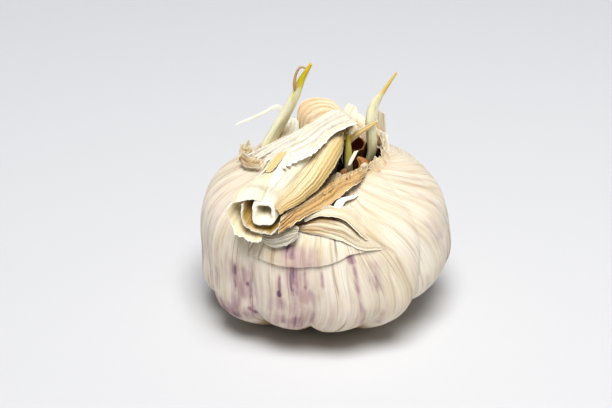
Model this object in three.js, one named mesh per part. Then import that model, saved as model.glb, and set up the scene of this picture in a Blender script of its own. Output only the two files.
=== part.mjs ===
// A whole dry garlic bulb with its neck bent over, torn papery skin round an open crown, and green shoots.
// Millimetres, +Z up. The origin is the middle of the root plate's flat underside, on which the bulb rests.
// The cut end of the neck points to the front left: -Y is the front and +X is the right.

import * as THREE from 'three';

// Driving dimensions of the bulb.
const widestRadius = 30;
const shoulderHeight = 38.8;
const crownRadius = 11;
const crownDepth = 6.8;
const rootPlateRadius = 8.2;
const rootPlateHeight = 1.7;
const leafThickness = 0.5;

// Each lobe is the back of one clove. These are the creases between them, in degrees from the front.
const creaseAngles = [-8.5, 19.5, 51, 82, 110, 141, 170, 200, 231, 262, 292, 324];
// How far each clove bulges past the mean outline, in millimetres, starting right of the first crease.
const cloveBulges = [0, 0.2, 0.3, 0.6, 0.2, 0.4, 0, 0.3, 0.1, 0.2, 0.8, 0.3];
// How deep each crease is against the mean.
const creaseStrengths = [1, 1, 2.1, 1, 1.2, 0.9, 1, 1.3, 0.9, 1, 1, 1];

// Outline of the skin from the crown's rim, over the shoulder and down to the root plate: radius, height.
const outline = [
  [crownRadius, shoulderHeight],
  [17, shoulderHeight - 1.9],
  [24.6, shoulderHeight - 6.2],
  [28.6, 27],
  [widestRadius - 0.1, 18],
  [29, 9.9],
  [23.7, 4.7],
  [16, 0.9],
  [rootPlateRadius + 1.6, rootPlateHeight + 0.5],
];

// Where the middle of the skin lies at evenly spaced places down the outline: the crown opens right of the
// middle, the belly leans right and the underside left.
const ringCentres = [[3, 0.6], [0.9, 0.2], [-0.4, 0], [0, 0], [0.6, 0], [-1, 0], [-1.1, 0], [0, 0]];

// The neck's centre line, from the floor of the crown's hollow to the cut end.
const neckLine = [
  [-0.8, 2.6, 33.2],
  [-0.8, 0.8, 41.4],
  [-2.6, -6.5, 44.4],
  [-6.4, -15.2, 43.4],
  [-11, -22.6, 40.6],
  [-13.6, -27, 37.3],
];
const neckRadii = [3.8, 4.3, 4.4, 4.4, 3.6, 2.8];
// The way the cut face looks: to the front and a little up.
const cutFacing = [-0.25, -0.93, 0.27];

const group = new THREE.Group();

// ---------------------------------------------------------------- curves and surfaces

const vector = ([x, y, z]) => new THREE.Vector3(x, y, z);

// A smooth curve through hand-chosen points.
function smoothCurve(points) {
  return new THREE.CatmullRomCurve3(points, false, 'catmullrom', 0.5);
}

// The value at t, from 0 to 1, of a smooth curve through evenly spaced numbers.
function smoothNumber(numbers, t) {
  const curve = smoothCurve(numbers.map((number) => new THREE.Vector3(number, 0, 0)));
  return curve.getPoint(t).x;
}

// A surface through rows of points: u runs along each row and v from the first row to the last.
function throughRows(rows) {
  const curves = rows.map((row) => smoothCurve(row));
  return (u, v) => smoothCurve(curves.map((curve) => curve.getPoint(u))).getPoint(v);
}

// The unit normal of a surface, which is the cross product of its two directions.
function normalOf(surface, u, v) {
  const step = 0.01;
  const alongU = surface(Math.min(u + step, 1), v).sub(surface(Math.max(u - step, 0), v));
  const alongV = surface(u, Math.min(v + step, 1)).sub(surface(u, Math.max(v - step, 0)));
  return alongU.cross(alongV).normalize();
}

// A frame at t on a line of vectors: the point, and the side and up directions across the line there.
function frameOn(curve, t, facing = null) {
  const tangent = curve.getTangent(t);
  if (facing) {
    tangent.lerp(facing, THREE.MathUtils.smoothstep(t, 0.75, 1)).normalize();
  }
  const side = new THREE.Vector3(1, 0, 0);
  side.addScaledVector(tangent, -side.dot(tangent)).normalize();
  const up = new THREE.Vector3().crossVectors(tangent, side);
  return { point: curve.getPoint(t), side, up };
}

// ---------------------------------------------------------------- solids

function addPiece(name, geometry, colour, roughness = 0.6) {
  geometry.computeVertexNormals();
  const material = new THREE.MeshStandardMaterial({ color: colour, roughness, metalness: 0 });
  const mesh = new THREE.Mesh(geometry, material);
  mesh.name = name;
  group.add(mesh);
}

// A leaf: a box of unit size bent onto a surface, with its thickness across the surface.
function leafGeometry(surface, across, along) {
  const geometry = new THREE.BoxGeometry(1, 1, 1, across, along, 1);
  const positions = geometry.attributes.position;
  for (let i = 0; i < positions.count; i += 1) {
    const u = positions.getX(i) + 0.5;
    const v = positions.getY(i) + 0.5;
    const point = surface(u, v);
    point.addScaledVector(normalOf(surface, u, v), positions.getZ(i) * leafThickness);
    positions.setXYZ(i, point.x, point.y, point.z);
  }
  return geometry;
}

// A solid stem: a unit cylinder bent along a line, with its radius at evenly spaced places on the way.
function stemGeometry(points, radii, sides, steps) {
  const curve = smoothCurve(points.map(vector));
  const geometry = new THREE.CylinderGeometry(1, 1, 1, sides, steps);
  const positions = geometry.attributes.position;
  for (let i = 0; i < positions.count; i += 1) {
    const t = positions.getY(i) + 0.5;
    const { point, side, up } = frameOn(curve, t);
    const radius = smoothNumber(radii, t);
    point.addScaledVector(side, positions.getX(i) * radius);
    point.addScaledVector(up, -positions.getZ(i) * radius);
    positions.setXYZ(i, point.x, point.y, point.z);
  }
  return geometry;
}

// A tube with a blind hole in its far end: a turned outline of (radius, way along) bent along a line.
function tubeGeometry({ line, radii, facing, hole, holeStart, sides, steps }) {
  const profile = [new THREE.Vector2(0, 0)];
  for (let i = 0; i <= steps; i += 1) {
    profile.push(new THREE.Vector2(1, i / steps));
  }
  profile.push(new THREE.Vector2(hole, 1), new THREE.Vector2(hole, holeStart), new THREE.Vector2(0, holeStart));
  const geometry = new THREE.LatheGeometry(profile, sides);
  const curve = smoothCurve(line.map(vector));
  const end = vector(facing).normalize();
  const positions = geometry.attributes.position;
  for (let i = 0; i < positions.count; i += 1) {
    const t = positions.getY(i);
    const { point, side, up } = frameOn(curve, t, end);
    const radius = smoothNumber(radii, t);
    point.addScaledVector(side, positions.getX(i) * radius);
    point.addScaledVector(up, -positions.getZ(i) * radius);
    positions.setXYZ(i, point.x, point.y, point.z);
  }
  return geometry;
}

// ---------------------------------------------------------------- the skin of the bulb

const outlineCurve = smoothCurve(outline.map(([radius, height]) => new THREE.Vector3(radius, height, 0)));
const outlineLength = outlineCurve.getLength();

// 0 in the crease between two cloves and 1 on the back of a clove, with the clove's own bulge.
function clove(angle) {
  const turned = THREE.MathUtils.euclideanModulo(angle - creaseAngles[0], 360) + creaseAngles[0];
  const index = creaseAngles.findLastIndex((crease) => crease <= turned);
  const next = index + 1 < creaseAngles.length ? creaseAngles[index + 1] : creaseAngles[0] + 360;
  const across = (turned - creaseAngles[index]) / (next - creaseAngles[index]);
  const nearest = (index + Math.round(across)) % creaseAngles.length;
  return {
    back: 1 - Math.abs(2 * across - 1) ** 2.6,
    bulge: cloveBulges[index],
    strength: creaseStrengths[nearest],
  };
}

// Crease depth on the way down the skin: slight at the crown, deepest where the cloves turn under.
function creaseDepth(down) {
  return smoothNumber([0.1, 0.2, 0.3, 0.6, 1.4, 1.6, 0.5], down / outlineLength);
}

// The middle of the skin at t, from 0 at the crown's rim to 1 at the root plate.
function ringCentre(t) {
  return smoothCurve(ringCentres.map(([x, y]) => new THREE.Vector3(x, y, 0))).getPoint(t);
}

// A point on the skin, at an angle from the front, a distance down from the crown's rim, and lifted off it.
function onSkin(angle, down, lift = 0) {
  const t = down / outlineLength;
  const ring = outlineCurve.getPointAt(t);
  const along = outlineCurve.getTangentAt(t);
  const { back, bulge, strength } = clove(angle);
  const fade = THREE.MathUtils.smoothstep(t, 0.1, 0.5) * (1 - THREE.MathUtils.smoothstep(t, 0.85, 1));
  const out = lift - creaseDepth(down) * strength * (1 - back) + bulge * back * fade;
  const radius = ring.x - along.y * out;
  const height = ring.y + along.x * out;
  const turn = THREE.MathUtils.degToRad(angle);
  const centre = ringCentre(t);
  return new THREE.Vector3(centre.x + radius * Math.sin(turn), centre.y - radius * Math.cos(turn), height);
}

// The bulb: underside, skin and crown basin as one body, with the rings set along its outline.
const skinRings = 16;
const basin = [
  [crownRadius - 0.6, shoulderHeight - 0.3],
  [crownRadius - 1.2, shoulderHeight - 2.5],
  [crownRadius - 1.8, shoulderHeight - crownDepth],
];
const bulbRings = skinRings + basin.length;
const bulbGeometry = new THREE.CylinderGeometry(1, 1, 1, 72, bulbRings);
const bulbPositions = bulbGeometry.attributes.position;
for (let i = 0; i < bulbPositions.count; i += 1) {
  const ring = Math.round((bulbPositions.getY(i) + 0.5) * bulbRings);
  const x = bulbPositions.getX(i);
  const z = bulbPositions.getZ(i);
  const angle = THREE.MathUtils.radToDeg(Math.atan2(x, z));
  const point = new THREE.Vector3();
  if (Math.hypot(x, z) < 0.5) {
    const top = ring > 0;
    point.copy(ringCentre(top ? 0 : 1)).setZ(top ? basin.at(-1)[1] : outline.at(-1)[1]);
  } else if (ring <= skinRings) {
    point.copy(onSkin(angle, outlineLength * (1 - ring / skinRings)));
  } else {
    const [radius, height] = basin[ring - skinRings - 1];
    point.copy(ringCentre(0)).add(new THREE.Vector3(radius * x, -radius * z, height));
  }
  bulbPositions.setXYZ(i, point.x, point.y, point.z);
}
addPiece('bulb', bulbGeometry, '#efe6d6', 0.45);

// The root plate: a flat corky disc under the bulb, slightly narrower at the floor.
const plateOutline = [
  new THREE.Vector2(0, 0),
  new THREE.Vector2(rootPlateRadius - 0.6, 0),
  new THREE.Vector2(rootPlateRadius, 0.5),
  new THREE.Vector2(rootPlateRadius - 0.4, rootPlateHeight),
  new THREE.Vector2(0, rootPlateHeight),
];
const plateGeometry = new THREE.LatheGeometry(plateOutline, 32);
plateGeometry.rotateX(Math.PI / 2);
addPiece('root_plate', plateGeometry, '#b89a70', 0.9);

// ---------------------------------------------------------------- loose layers of outer skin

// The upper skin, which ends in a curved torn edge across the front of the bulb.
const capRows = [
  [-44, 11, 21.5],
  [-34, 10, 24.6],
  [-18, 9.5, 25.4],
  [-3, 9, 24.6],
  [10, 8.5, 22.8],
  [22, 8, 21.8],
  [34, 7.5, 22.2],
];
const capSkin = throughRows(capRows.map(([angle, top, edge]) => [
  onSkin(angle, top, 1),
  onSkin(angle, (top + edge) / 2, 1.1),
  onSkin(angle, edge, 1.1),
]));
addPiece('cap_skin', leafGeometry(capSkin, 5, 12), '#f3e8da', 0.45);

// The gathered fold on the front shoulder: from its left point it widens, then runs out to the right.
const pleatRows = [
  [onSkin(-17, 16, 2), onSkin(-17, 16.8, 2.2), onSkin(-16, 17.6, 1.9)],
  [onSkin(-9, 14.6, 2.2), onSkin(-9, 16.2, 2.8), onSkin(-8, 18.2, 2)],
  [onSkin(2, 14, 2.1), onSkin(2, 16.6, 2.7), onSkin(2, 19.4, 2)],
  [onSkin(11, 16.2, 2), onSkin(11, 18.2, 2.4), onSkin(10, 20.6, 2)],
  [onSkin(21, 19.8, 1.9), onSkin(21, 20.7, 2.1), onSkin(20, 21.6, 1.9)],
  [onSkin(30, 21.8, 1.8), onSkin(30, 22.2, 1.9), onSkin(30, 22.7, 1.8)],
];
addPiece('pleated_skin', leafGeometry(throughRows(pleatRows), 5, 12), '#d8c8a6');

// The thick white curl of skin behind the fold.
const curlPoints = [
  [1.4, -23.5, 36.6],
  [2.8, -22.3, 36.9],
  [4.4, -20.7, 37.3],
  [6, -18.9, 37.6],
];
addPiece('torn_curl', stemGeometry(curlPoints, [0.4, 0.75, 0.7, 0.35], 8, 8), '#faf5ea');

// ---------------------------------------------------------------- neck

addPiece('neck_core', tubeGeometry({
  line: neckLine,
  radii: neckRadii,
  facing: cutFacing,
  hole: 0.62,
  holeStart: 0.8,
  sides: 20,
  steps: 15,
}), '#f7f1de', 0.5);

const neckCurve = smoothCurve(neckLine.map(vector));
const cutDirection = vector(cutFacing).normalize();

// A leaf rolled round the neck: each row is a way along it, and pairs of (angle, radius) across it.
// The angle turns about the neck's line, from 0 on its right over 90 on top to 180 on its left.
function roundNeck(rows) {
  return throughRows(rows.map(([t, ...marks]) => {
    const { point, side, up } = frameOn(neckCurve, t, cutDirection);
    return marks.map(([angle, radius]) => {
      const turn = THREE.MathUtils.degToRad(angle);
      return point.clone()
        .addScaledVector(side, radius * Math.cos(turn))
        .addScaledVector(up, radius * Math.sin(turn));
    });
  }));
}

const sheathInner = roundNeck([
  [0.62, [165, 5.2], [205, 5.2], [245, 5.2], [285, 5.2], [322, 5.1]],
  [0.8, [165, 5.1], [205, 5], [245, 4.8], [285, 4.8], [322, 4.8]],
  [0.92, [165, 5.2], [205, 5.1], [245, 4.8], [285, 4.9], [322, 4.6]],
  [1, [162, 5.6], [205, 5.5], [245, 5], [285, 5.1], [324, 4.6]],
]);
addPiece('sheath_inner', leafGeometry(sheathInner, 12, 7), '#f4ecd4');

const sheathOuter = roundNeck([
  [0.78, [176, 6], [202, 6], [226, 6], [246, 5.9], [262, 5.8]],
  [0.89, [176, 6.5], [202, 6.6], [226, 6.6], [246, 6.5], [260, 6.2]],
  [1, [174, 7.3], [202, 7.6], [228, 7.7], [246, 7.4], [258, 6.9]],
]);
addPiece('sheath_outer', leafGeometry(sheathOuter, 9, 5), '#f6efdc');

const neckTongue = roundNeck([
  [0.66, [106, 4.8], [124, 4.9], [144, 5.1], [160, 5.4]],
  [0.73, [107, 4.7], [126, 5], [146, 5.4], [163, 5.8]],
  [0.8, [110, 4.6], [128, 5], [148, 5.6], [165, 6.1]],
  [0.9, [132, 4.7], [143, 5.1], [154, 5.6], [165, 6.2]],
]);
addPiece('neck_tongue', leafGeometry(neckTongue, 6, 8), '#fbf7ea');

const tanLeaf = [
  [[1.4, -1, 47.2], [3.6, -2, 45.4], [4.4, -2.8, 42]],
  [[-0.6, -7.8, 49.6], [3, -8.8, 46.8], [4.2, -9.4, 43]],
  [[-2.2, -14.4, 48.6], [0.9, -15.2, 46], [2.3, -15.4, 41.8]],
  [[-5.2, -20.2, 46.2], [-2.6, -20.8, 43.8], [-1.2, -21, 40.4]],
  [[-8.6, -25.2, 43.2], [-6.6, -25.6, 41.2], [-5.6, -25.6, 38.8]],
  [[-11.2, -29, 40.2], [-10, -29.2, 38.6], [-9.6, -29, 37]],
];
addPiece('tan_leaf', leafGeometry(throughRows(tanLeaf.map((row) => row.map(vector))), 4, 14), '#e3bd80');

const brownLeaf = [
  [[12.4, -5.4, 39.6], [10.4, -9.6, 39.6], [8.4, -13.8, 38.9]],
  [[8, -8.4, 39.6], [7, -13, 39.9], [5.8, -17.8, 38.7]],
  [[4.2, -11.6, 39.2], [3.8, -16, 39.8], [3.4, -20.6, 38]],
  [[1.2, -15.8, 39.2], [0.9, -19.6, 39.2], [0.4, -23.2, 37]],
  [[-2.4, -20.2, 38.6], [-2.7, -23, 38], [-2.9, -25.1, 36]],
  [[-6, -23.8, 37.6], [-6.5, -25.8, 36.8], [-7.1, -27.4, 34.9]],
  [[-9.2, -27.3, 35], [-9.6, -28.4, 34.4], [-10, -29.1, 33.4]],
];
addPiece('brown_leaf', leafGeometry(throughRows(brownLeaf.map((row) => row.map(vector))), 5, 14), '#cfa873');

const collarRows = [
  [onSkin(-32, 19.6, 1.9), onSkin(-33, 20.1, 1.8), onSkin(-33, 20.6, 1.7)],
  [onSkin(-27, 18.4, 2.4), onSkin(-27, 19.8, 2.2), onSkin(-27, 21.2, 1.8)],
  [onSkin(-20, 16.8, 3), onSkin(-20, 18.8, 2.7), onSkin(-21, 21, 1.9)],
  [onSkin(-14, 16.2, 3), onSkin(-14, 17.8, 2.9), onSkin(-16, 20, 2.3)],
];
addPiece('collar_flap', leafGeometry(throughRows(collarRows), 4, 8), '#cfc8b8');

const neckFlap = [
  [[0.2, 8.8, 41], [1.6, 8.4, 42.2], [3.6, 6.8, 43.6], [5.6, 4, 44.8]],
  [[0.4, 8.2, 45.4], [3, 6, 47.6], [5.6, 1.4, 48.2], [7.6, -0.6, 47]],
  [[-5.6, 3, 46.4], [-2, 1.2, 49], [0.6, -6.4, 50.6], [2.2, -8.8, 50]],
  [[-9.2, -4.6, 45.8], [-6.6, -6.6, 48], [-4.4, -14, 49.8], [-1.8, -16.4, 49.3]],
  [[-12.2, -8.8, 45.2], [-10.5, -9.8, 47], [-8.6, -16.8, 49.8], [-7.3, -22.8, 47.9]],
  [[-15, -10.6, 44.4], [-14.2, -11, 45.4], [-12.3, -15.4, 47.3], [-10.4, -18, 47.8]],
  [[-17.6, -10.6, 43], [-17.3, -11, 43.7], [-16.5, -11.8, 44], [-15.6, -12, 44]],
];
addPiece('neck_flap', leafGeometry(throughRows(neckFlap.map((row) => row.map(vector))), 6, 16), '#fcf8ee');

// ---------------------------------------------------------------- inside the open crown

addPiece('clove_tip_right', stemGeometry(
  [[9.1, -2.4, 32.6], [9.5, -2.2, 35.2], [9.2, -1.2, 37], [7.8, 0, 38.2]],
  [1.8, 1.9, 1.4, 0.4],
  10,
  6,
), '#9c7450', 0.8);

addPiece('clove_tip_back', tubeGeometry({
  line: [[7, 5.6, 32.6], [7.2, 5.8, 35.4], [7.4, 5.2, 38], [7.5, 3.6, 40.1]],
  radii: [1.9, 2.2, 2.3, 2.1],
  facing: [0, -0.75, 0.66],
  hole: 0.76,
  holeStart: 0.55,
  sides: 14,
  steps: 6,
}), '#8a5a34', 0.8);

addPiece('clove_tip_front', stemGeometry(
  [[4, -5.4, 32.4], [4, -5.4, 34.4], [4.4, -5, 36.2], [5, -4.2, 37.2]],
  [1.8, 1.6, 1.1, 0.4],
  10,
  5,
), '#7d4f2c', 0.8);

// ---------------------------------------------------------------- shoots

addPiece('sprout_left', stemGeometry(
  [[-14, 6.1, 38.4], [-11.5, 5.8, 42.4], [-9.2, 5.5, 46.6], [-7, 5, 51.4], [-5.3, 4.5, 55.9], [-3.1, 4, 60.1]],
  [1.35, 1.3, 1.2, 1, 0.8, 0.3],
  10,
  14,
), '#d9cf8c', 0.45);

addPiece('sprout_left_husk', stemGeometry(
  [[-7.5, 3.9, 53.6], [-7.3, 3.5, 56], [-6.9, 3.4, 58.2], [-5.6, 3.2, 59.9], [-4.3, 3, 59.6]],
  [0.35, 0.4, 0.35, 0.35, 0.3],
  6,
  8,
), '#a97f4a', 0.7);

addPiece('sprout_right', stemGeometry(
  [[9.8, 4.2, 32.5], [11.2, 3.6, 38], [11, 3.7, 42.4], [10.8, 4, 46], [11.6, 4.5, 49.6], [13.6, 4.5, 52.9], [16.7, 4, 58]],
  [0.8, 1, 1.1, 1.2, 1.1, 0.7, 0.3],
  10,
  16,
), '#d8d3a4', 0.45);

addPiece('sprout_centre', stemGeometry(
  [[5.6, -2.2, 32.5], [5.6, -2.2, 37], [5.5, -1.6, 40.8], [5.4, -0.8, 44.6]],
  [0.8, 0.8, 0.75, 0.5],
  8,
  8,
), '#cfc77e', 0.45);

// ---------------------------------------------------------------- leaf bases standing at the back

const standingLeaves = {
  back_fan: [
    [[-5, 11.2, 39.2], [-1.5, 13, 39], [2, 12.8, 39.2]],
    [[-6.6, 13.4, 42.6], [-1.6, 15.4, 43], [2.6, 13.8, 42.6]],
    [[-6.2, 12.6, 46.2], [-1, 13.4, 48], [3.6, 11.2, 47]],
    [[-4.8, 9.6, 46.4], [-0.4, 9.8, 47.8], [4, 8.8, 46.4]],
  ],
  back_skin: [
    [[-11.2, 8.4, 38.4], [-9, 10, 38.6], [-6.6, 10.6, 38.8]],
    [[-10.9, 8.6, 40], [-8.4, 9.8, 41], [-6.6, 10.4, 41]],
    [[-10.6, 8.6, 41.6], [-8.2, 9.4, 43.4], [-6.8, 9.8, 43.4]],
  ],
  back_tab: [
    [[4.2, 13.6, 39.2], [6.4, 13.5, 39.2], [8.6, 12.9, 39.2]],
    [[4.6, 12.9, 43.2], [6.6, 12.8, 43.4], [8.6, 12.4, 43]],
    [[5.8, 12.2, 46.9], [6.6, 12.2, 47.1], [7.6, 12, 46.2]],
  ],
  right_fingers: [
    [[12, 11.8, 38.8], [13.4, 11, 38.8], [15, 10, 38.4]],
    [[12.6, 10.6, 42], [13.6, 10, 42], [14.7, 9.4, 41.8]],
    [[13, 9.4, 46.6], [13.6, 9.2, 46.2], [14.4, 9, 45.6]],
  ],
  right_shred: [
    [[13.4, 7.4, 39], [14.6, 6.2, 38.8], [15.4, 4.8, 38.5]],
    [[13.4, 7.6, 41.4], [14.6, 7, 41.4], [15.2, 6.4, 40.6]],
  ],
  left_tab: [
    [[-20.4, 4.6, 36.2], [-18.8, 5.2, 37], [-17, 5.6, 37.6]],
    [[-19.6, 4.4, 40], [-18.8, 4.6, 39.6], [-17.8, 4.6, 41]],
  ],
  left_collar: [
    [[-20.2, 2.4, 36.2], [-19.6, 2.2, 37.4], [-18.8, 2, 38.6]],
    [[-18.6, -2.2, 36.8], [-17.8, -2.1, 38], [-17, -2, 39.2]],
    [[-15, -5.6, 38], [-14.2, -5.4, 39.2], [-13.6, -5.2, 40.2]],
  ],
};
for (const [name, rows] of Object.entries(standingLeaves)) {
  addPiece(name, leafGeometry(throughRows(rows.map((row) => row.map(vector))), 5, 8), '#eadfc4');
}

// Narrow ribbons of torn leaf: a line of points, half the ribbon's width at evenly spaced places along it,
// and the direction in which the width lies.
function ribbon(name, points, halfWidths, across, colour) {
  const curve = smoothCurve(points.map(vector));
  const sideways = vector(across).normalize();
  const surface = (u, v) => curve.getPoint(v)
    .addScaledVector(sideways, (2 * u - 1) * smoothNumber(halfWidths, v));
  addPiece(name, leafGeometry(surface, 2, 10), colour);
}

ribbon(
  'back_sliver',
  [[-7.4, 12.9, 39.4], [-9, 13.4, 43], [-11.4, 12.4, 45.6], [-14.5, 10.2, 44.9], [-17.6, 8, 44.4], [-21, 6, 43.8]],
  [1.2, 1.1, 0.9, 0.8, 0.7, 0.4],
  [0.3, 0.6, 0.8],
  '#f4ecd0',
);
ribbon(
  'right_strip',
  [[8.6, 0.2, 42.4], [9.6, 0.9, 43.8], [11, 1.6, 45.2], [12.9, 2.6, 46.2]],
  [0.5, 0.6, 0.6, 0.4],
  [0, -0.5, 0.86],
  '#e4c992',
);
ribbon(
  'crown_strand',
  [[7.2, -3.2, 41], [6.4, -5.8, 40.6], [5.6, -9, 40.4]],
  [0.6, 0.6, 0.4],
  [0.9, 0.2, 0.2],
  '#faf5e6',
);

export default group;
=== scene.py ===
import math

import bpy
import numpy as np
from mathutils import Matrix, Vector


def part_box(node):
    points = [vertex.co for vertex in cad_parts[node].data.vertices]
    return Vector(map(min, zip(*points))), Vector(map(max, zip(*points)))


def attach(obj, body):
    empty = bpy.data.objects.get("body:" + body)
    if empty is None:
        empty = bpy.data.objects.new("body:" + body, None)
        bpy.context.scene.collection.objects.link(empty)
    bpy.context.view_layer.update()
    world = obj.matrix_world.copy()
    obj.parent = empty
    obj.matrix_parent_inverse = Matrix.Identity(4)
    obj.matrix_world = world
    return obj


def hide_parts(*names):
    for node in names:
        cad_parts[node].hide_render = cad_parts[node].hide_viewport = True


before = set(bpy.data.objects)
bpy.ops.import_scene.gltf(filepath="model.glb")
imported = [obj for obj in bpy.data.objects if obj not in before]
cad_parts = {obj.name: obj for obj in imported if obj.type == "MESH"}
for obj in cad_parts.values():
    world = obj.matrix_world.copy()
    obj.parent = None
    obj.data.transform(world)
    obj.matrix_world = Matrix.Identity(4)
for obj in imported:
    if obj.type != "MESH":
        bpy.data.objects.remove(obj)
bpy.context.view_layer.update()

# ---------------------------------------------------------------- root plate
# The root plate is the flat corky disc that the roots grew from. It is dry brown tissue, cut level, and the
# bulb rests on it. The short stubs of the trimmed roots still stand out round its edge.

MM = 0.001  # metres in a millimetre: shapes are worked out in millimetres


def highest_corner(node):
    """The highest corner of a CAD node's box, in millimetres."""
    return np.array(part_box(node)[1]) / MM


def ease(value, low, high):
    """0 up to low and 1 from high on, with the curve 3x squared less 2x cubed between them."""
    x = np.clip((value - low) / (high - low), 0, 1)
    return x * x * (3 - 2 * x)


def rough(x, y, seed, around=64, along=64):
    """Random numbers from -1 to 1 at whole x and y, eased between them. They repeat every `around` in x and
    every `along` in y."""
    table = np.random.default_rng(seed).uniform(-1, 1, (around, along))
    column = np.floor(x).astype(int)
    row = np.floor(y).astype(int)
    to_next = ease(x - column, 0, 1)
    near, far = (
        table[column % around, place % along] * (1 - to_next)
        + table[(column + 1) % around, place % along] * to_next
        for place in (row, row + 1)
    )
    to_far = ease(y - row, 0, 1)
    return near * (1 - to_far) + far * to_far


def spline_weights(count, t):
    """How much each of `count` points counts at t, from 0 to 1, on a Catmull-Rom line through them.

    The four nearest points count by the cubic weights of that line. One more point past each end, twice the
    end point less its neighbour, lets the line run straight through its ends.
    """
    place = np.asarray(t, float) * (count - 1)
    span = np.clip(np.floor(place), 0, count - 2).astype(int)
    x = (place - span)[..., None]
    cubic = np.concatenate(
        [-x + 2 * x**2 - x**3, 2 - 5 * x**2 + 3 * x**3, x + 4 * x**2 - 3 * x**3, x**3 - x**2], axis=-1
    ) / 2
    extended = np.zeros(place.shape + (count + 2,))
    np.put_along_axis(extended, span[..., None] + np.arange(4), cubic, -1)
    weights = extended[..., 1:-1].copy()
    weights[..., 0] += 2 * extended[..., 0]
    weights[..., 1] -= extended[..., 0]
    weights[..., -1] += 2 * extended[..., -1]
    weights[..., -2] -= extended[..., -1]
    return weights


def on_line(points, t):
    """The point, or number, at t from 0 to 1 on the Catmull-Rom line through a list of them."""
    return spline_weights(len(points), t) @ np.asarray(points, float)


def signed_volume(points, faces):
    """The volume inside quads or triangles: a sixth of the sum of a . (b x c) over triangles a, b, c."""
    total = 0
    for second in range(1, faces.shape[1] - 1):
        a, b, c = points[faces[:, 0]], points[faces[:, second]], points[faces[:, second + 1]]
        total += np.einsum("ij,ij->i", a, np.cross(b, c)).sum() / 6
    return total


def solid_of_rings(rings, **marks):
    """A closed solid through rings of points, an array of (rings, points in a ring, 3).

    Quads join each ring to the next, and a fan to the mean of each end ring shuts it. Marks are arrays of
    (rings, points in a ring) or with three numbers each. The solid is its points, its arrays of faces, and
    its marks with a row for each point.
    """
    count = rings.shape[0] * rings.shape[1]
    numbers = np.arange(count).reshape(rings.shape[:2])
    following = np.roll(numbers, -1, axis=1)
    quads = np.stack([numbers[:-1], following[:-1], following[1:], numbers[1:]], -1).reshape(-1, 4)
    end = np.full(rings.shape[1], count)
    fans = np.concatenate([
        np.stack([following[0], numbers[0], end], -1), np.stack([numbers[-1], following[-1], end + 1], -1)
    ])

    def with_ends(values):
        """Values in one row for each point, and then the mean of the first ring's and of the last ring's."""
        ends = values[[0, -1]].mean(1).reshape(2, -1)
        return np.concatenate([values.reshape(count, -1), ends])

    points = with_ends(rings)
    if signed_volume(points, quads) + signed_volume(points, fans) < 0:
        quads, fans = quads[:, ::-1], fans[:, ::-1]
    return points, [quads, fans], {name: with_ends(values) for name, values in marks.items()}


def joined(solids):
    """Several solids, each of points, faces and marks, as one with the kinds of mark that the first has."""
    all_points, all_faces, all_marks = zip(*solids)
    starts = np.cumsum([0] + [len(points) for points in all_points])
    faces = [array + start for start, arrays in zip(starts, all_faces) for array in arrays]
    marks = {name: np.concatenate([part[name] for part in all_marks]) for name in all_marks[0]}
    return np.concatenate(all_points), faces, marks


def mesh_piece(name, solid, material):
    """A mesh object of a solid in millimetres, with each mark as an attribute of its points. It is shaded
    smooth but for edges of over 55 degrees."""
    points, faces, marks = solid
    mesh = bpy.data.meshes.new(name)
    mesh.from_pydata((points * MM).tolist(), [], [face for array in faces for face in array.tolist()])
    for mark, values in marks.items():
        kind, field = ("FLOAT_VECTOR", "vector") if values.shape[1] == 3 else ("FLOAT", "value")
        attribute = mesh.attributes.new(mark, kind, "POINT")
        attribute.data.foreach_set(field, values.astype(np.float32).ravel())
    mesh.shade_smooth()
    mesh.set_sharp_from_angle(angle=math.radians(55))
    mesh.materials.append(material)
    piece = bpy.data.objects.new(name, mesh)
    bpy.context.scene.collection.objects.link(piece)
    return piece


def unit(vectors):
    """Vectors of the same direction and of length 1."""
    return vectors / np.maximum(np.linalg.norm(vectors, axis=-1, keepdims=True), 1e-9)


def full_turn(count):
    """That many turns in radians, evenly spaced all the way round."""
    return np.linspace(0, 2 * np.pi, count, endpoint=False)


def upright(radius, turn, height):
    """Points at a radius round the upright axis, at a turn from Y towards X in radians, and at a height."""
    return np.stack(np.broadcast_arrays(radius * np.sin(turn), radius * np.cos(turn), height), -1)


def about_line(line, t, turn, radius, facing=None):
    """Points at a radius about a line at t, at a turn in radians from its side towards its up.

    Its side is the X axis less its part along the line, and its up is the line's direction crossed with that.
    Over the last quarter of the line its direction turns to `facing`.
    """
    step = 0.001
    tangent = unit(on_line(line, t + step) - on_line(line, t - step))
    if facing is not None:
        share = ease(t, 0.75, 1)[..., None]
        tangent = unit(tangent * (1 - share) + unit(np.array(facing)) * share)
    side = unit([1.0, 0, 0] - tangent[..., :1] * tangent)
    out = np.cos(turn)[..., None] * side + np.sin(turn)[..., None] * np.cross(tangent, side)
    return on_line(line, t) + radius[..., None] * out


def stem(line, radii, around=20, steps=40, flute=0.0, flutes=2, seed=0):
    """A solid stem: rings about a line, of the radius at t times 1 + flute x cos(flutes x turn), and uneven
    by up to a twentieth."""
    t = np.linspace(0, 1, steps)[:, None] + np.zeros(around)
    turn = full_turn(around) + 0 * t
    length = np.linalg.norm(np.diff(on_line(line, np.linspace(0, 1, 30)), axis=0), axis=1).sum()
    uneven = 0.05 * rough(turn * 8 / np.pi, t * length / 3, seed, around=16)
    radius = on_line(radii, t) * (1 + flute * np.cos(flutes * turn) + uneven)
    return solid_of_rings(about_line(line, t, turn, radius), grain=upright(1, turn, t * length), along=t)


def colour(red, green, blue):
    """A shader colour from screen values of 0 to 255, by the screen's power curve. The whitest paper sends
    back 0.84 of its light."""
    return [*(0.84 * ((channel / 255 + 0.055) / 1.055) ** 2.4 for channel in (red, green, blue)), 1]


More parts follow.
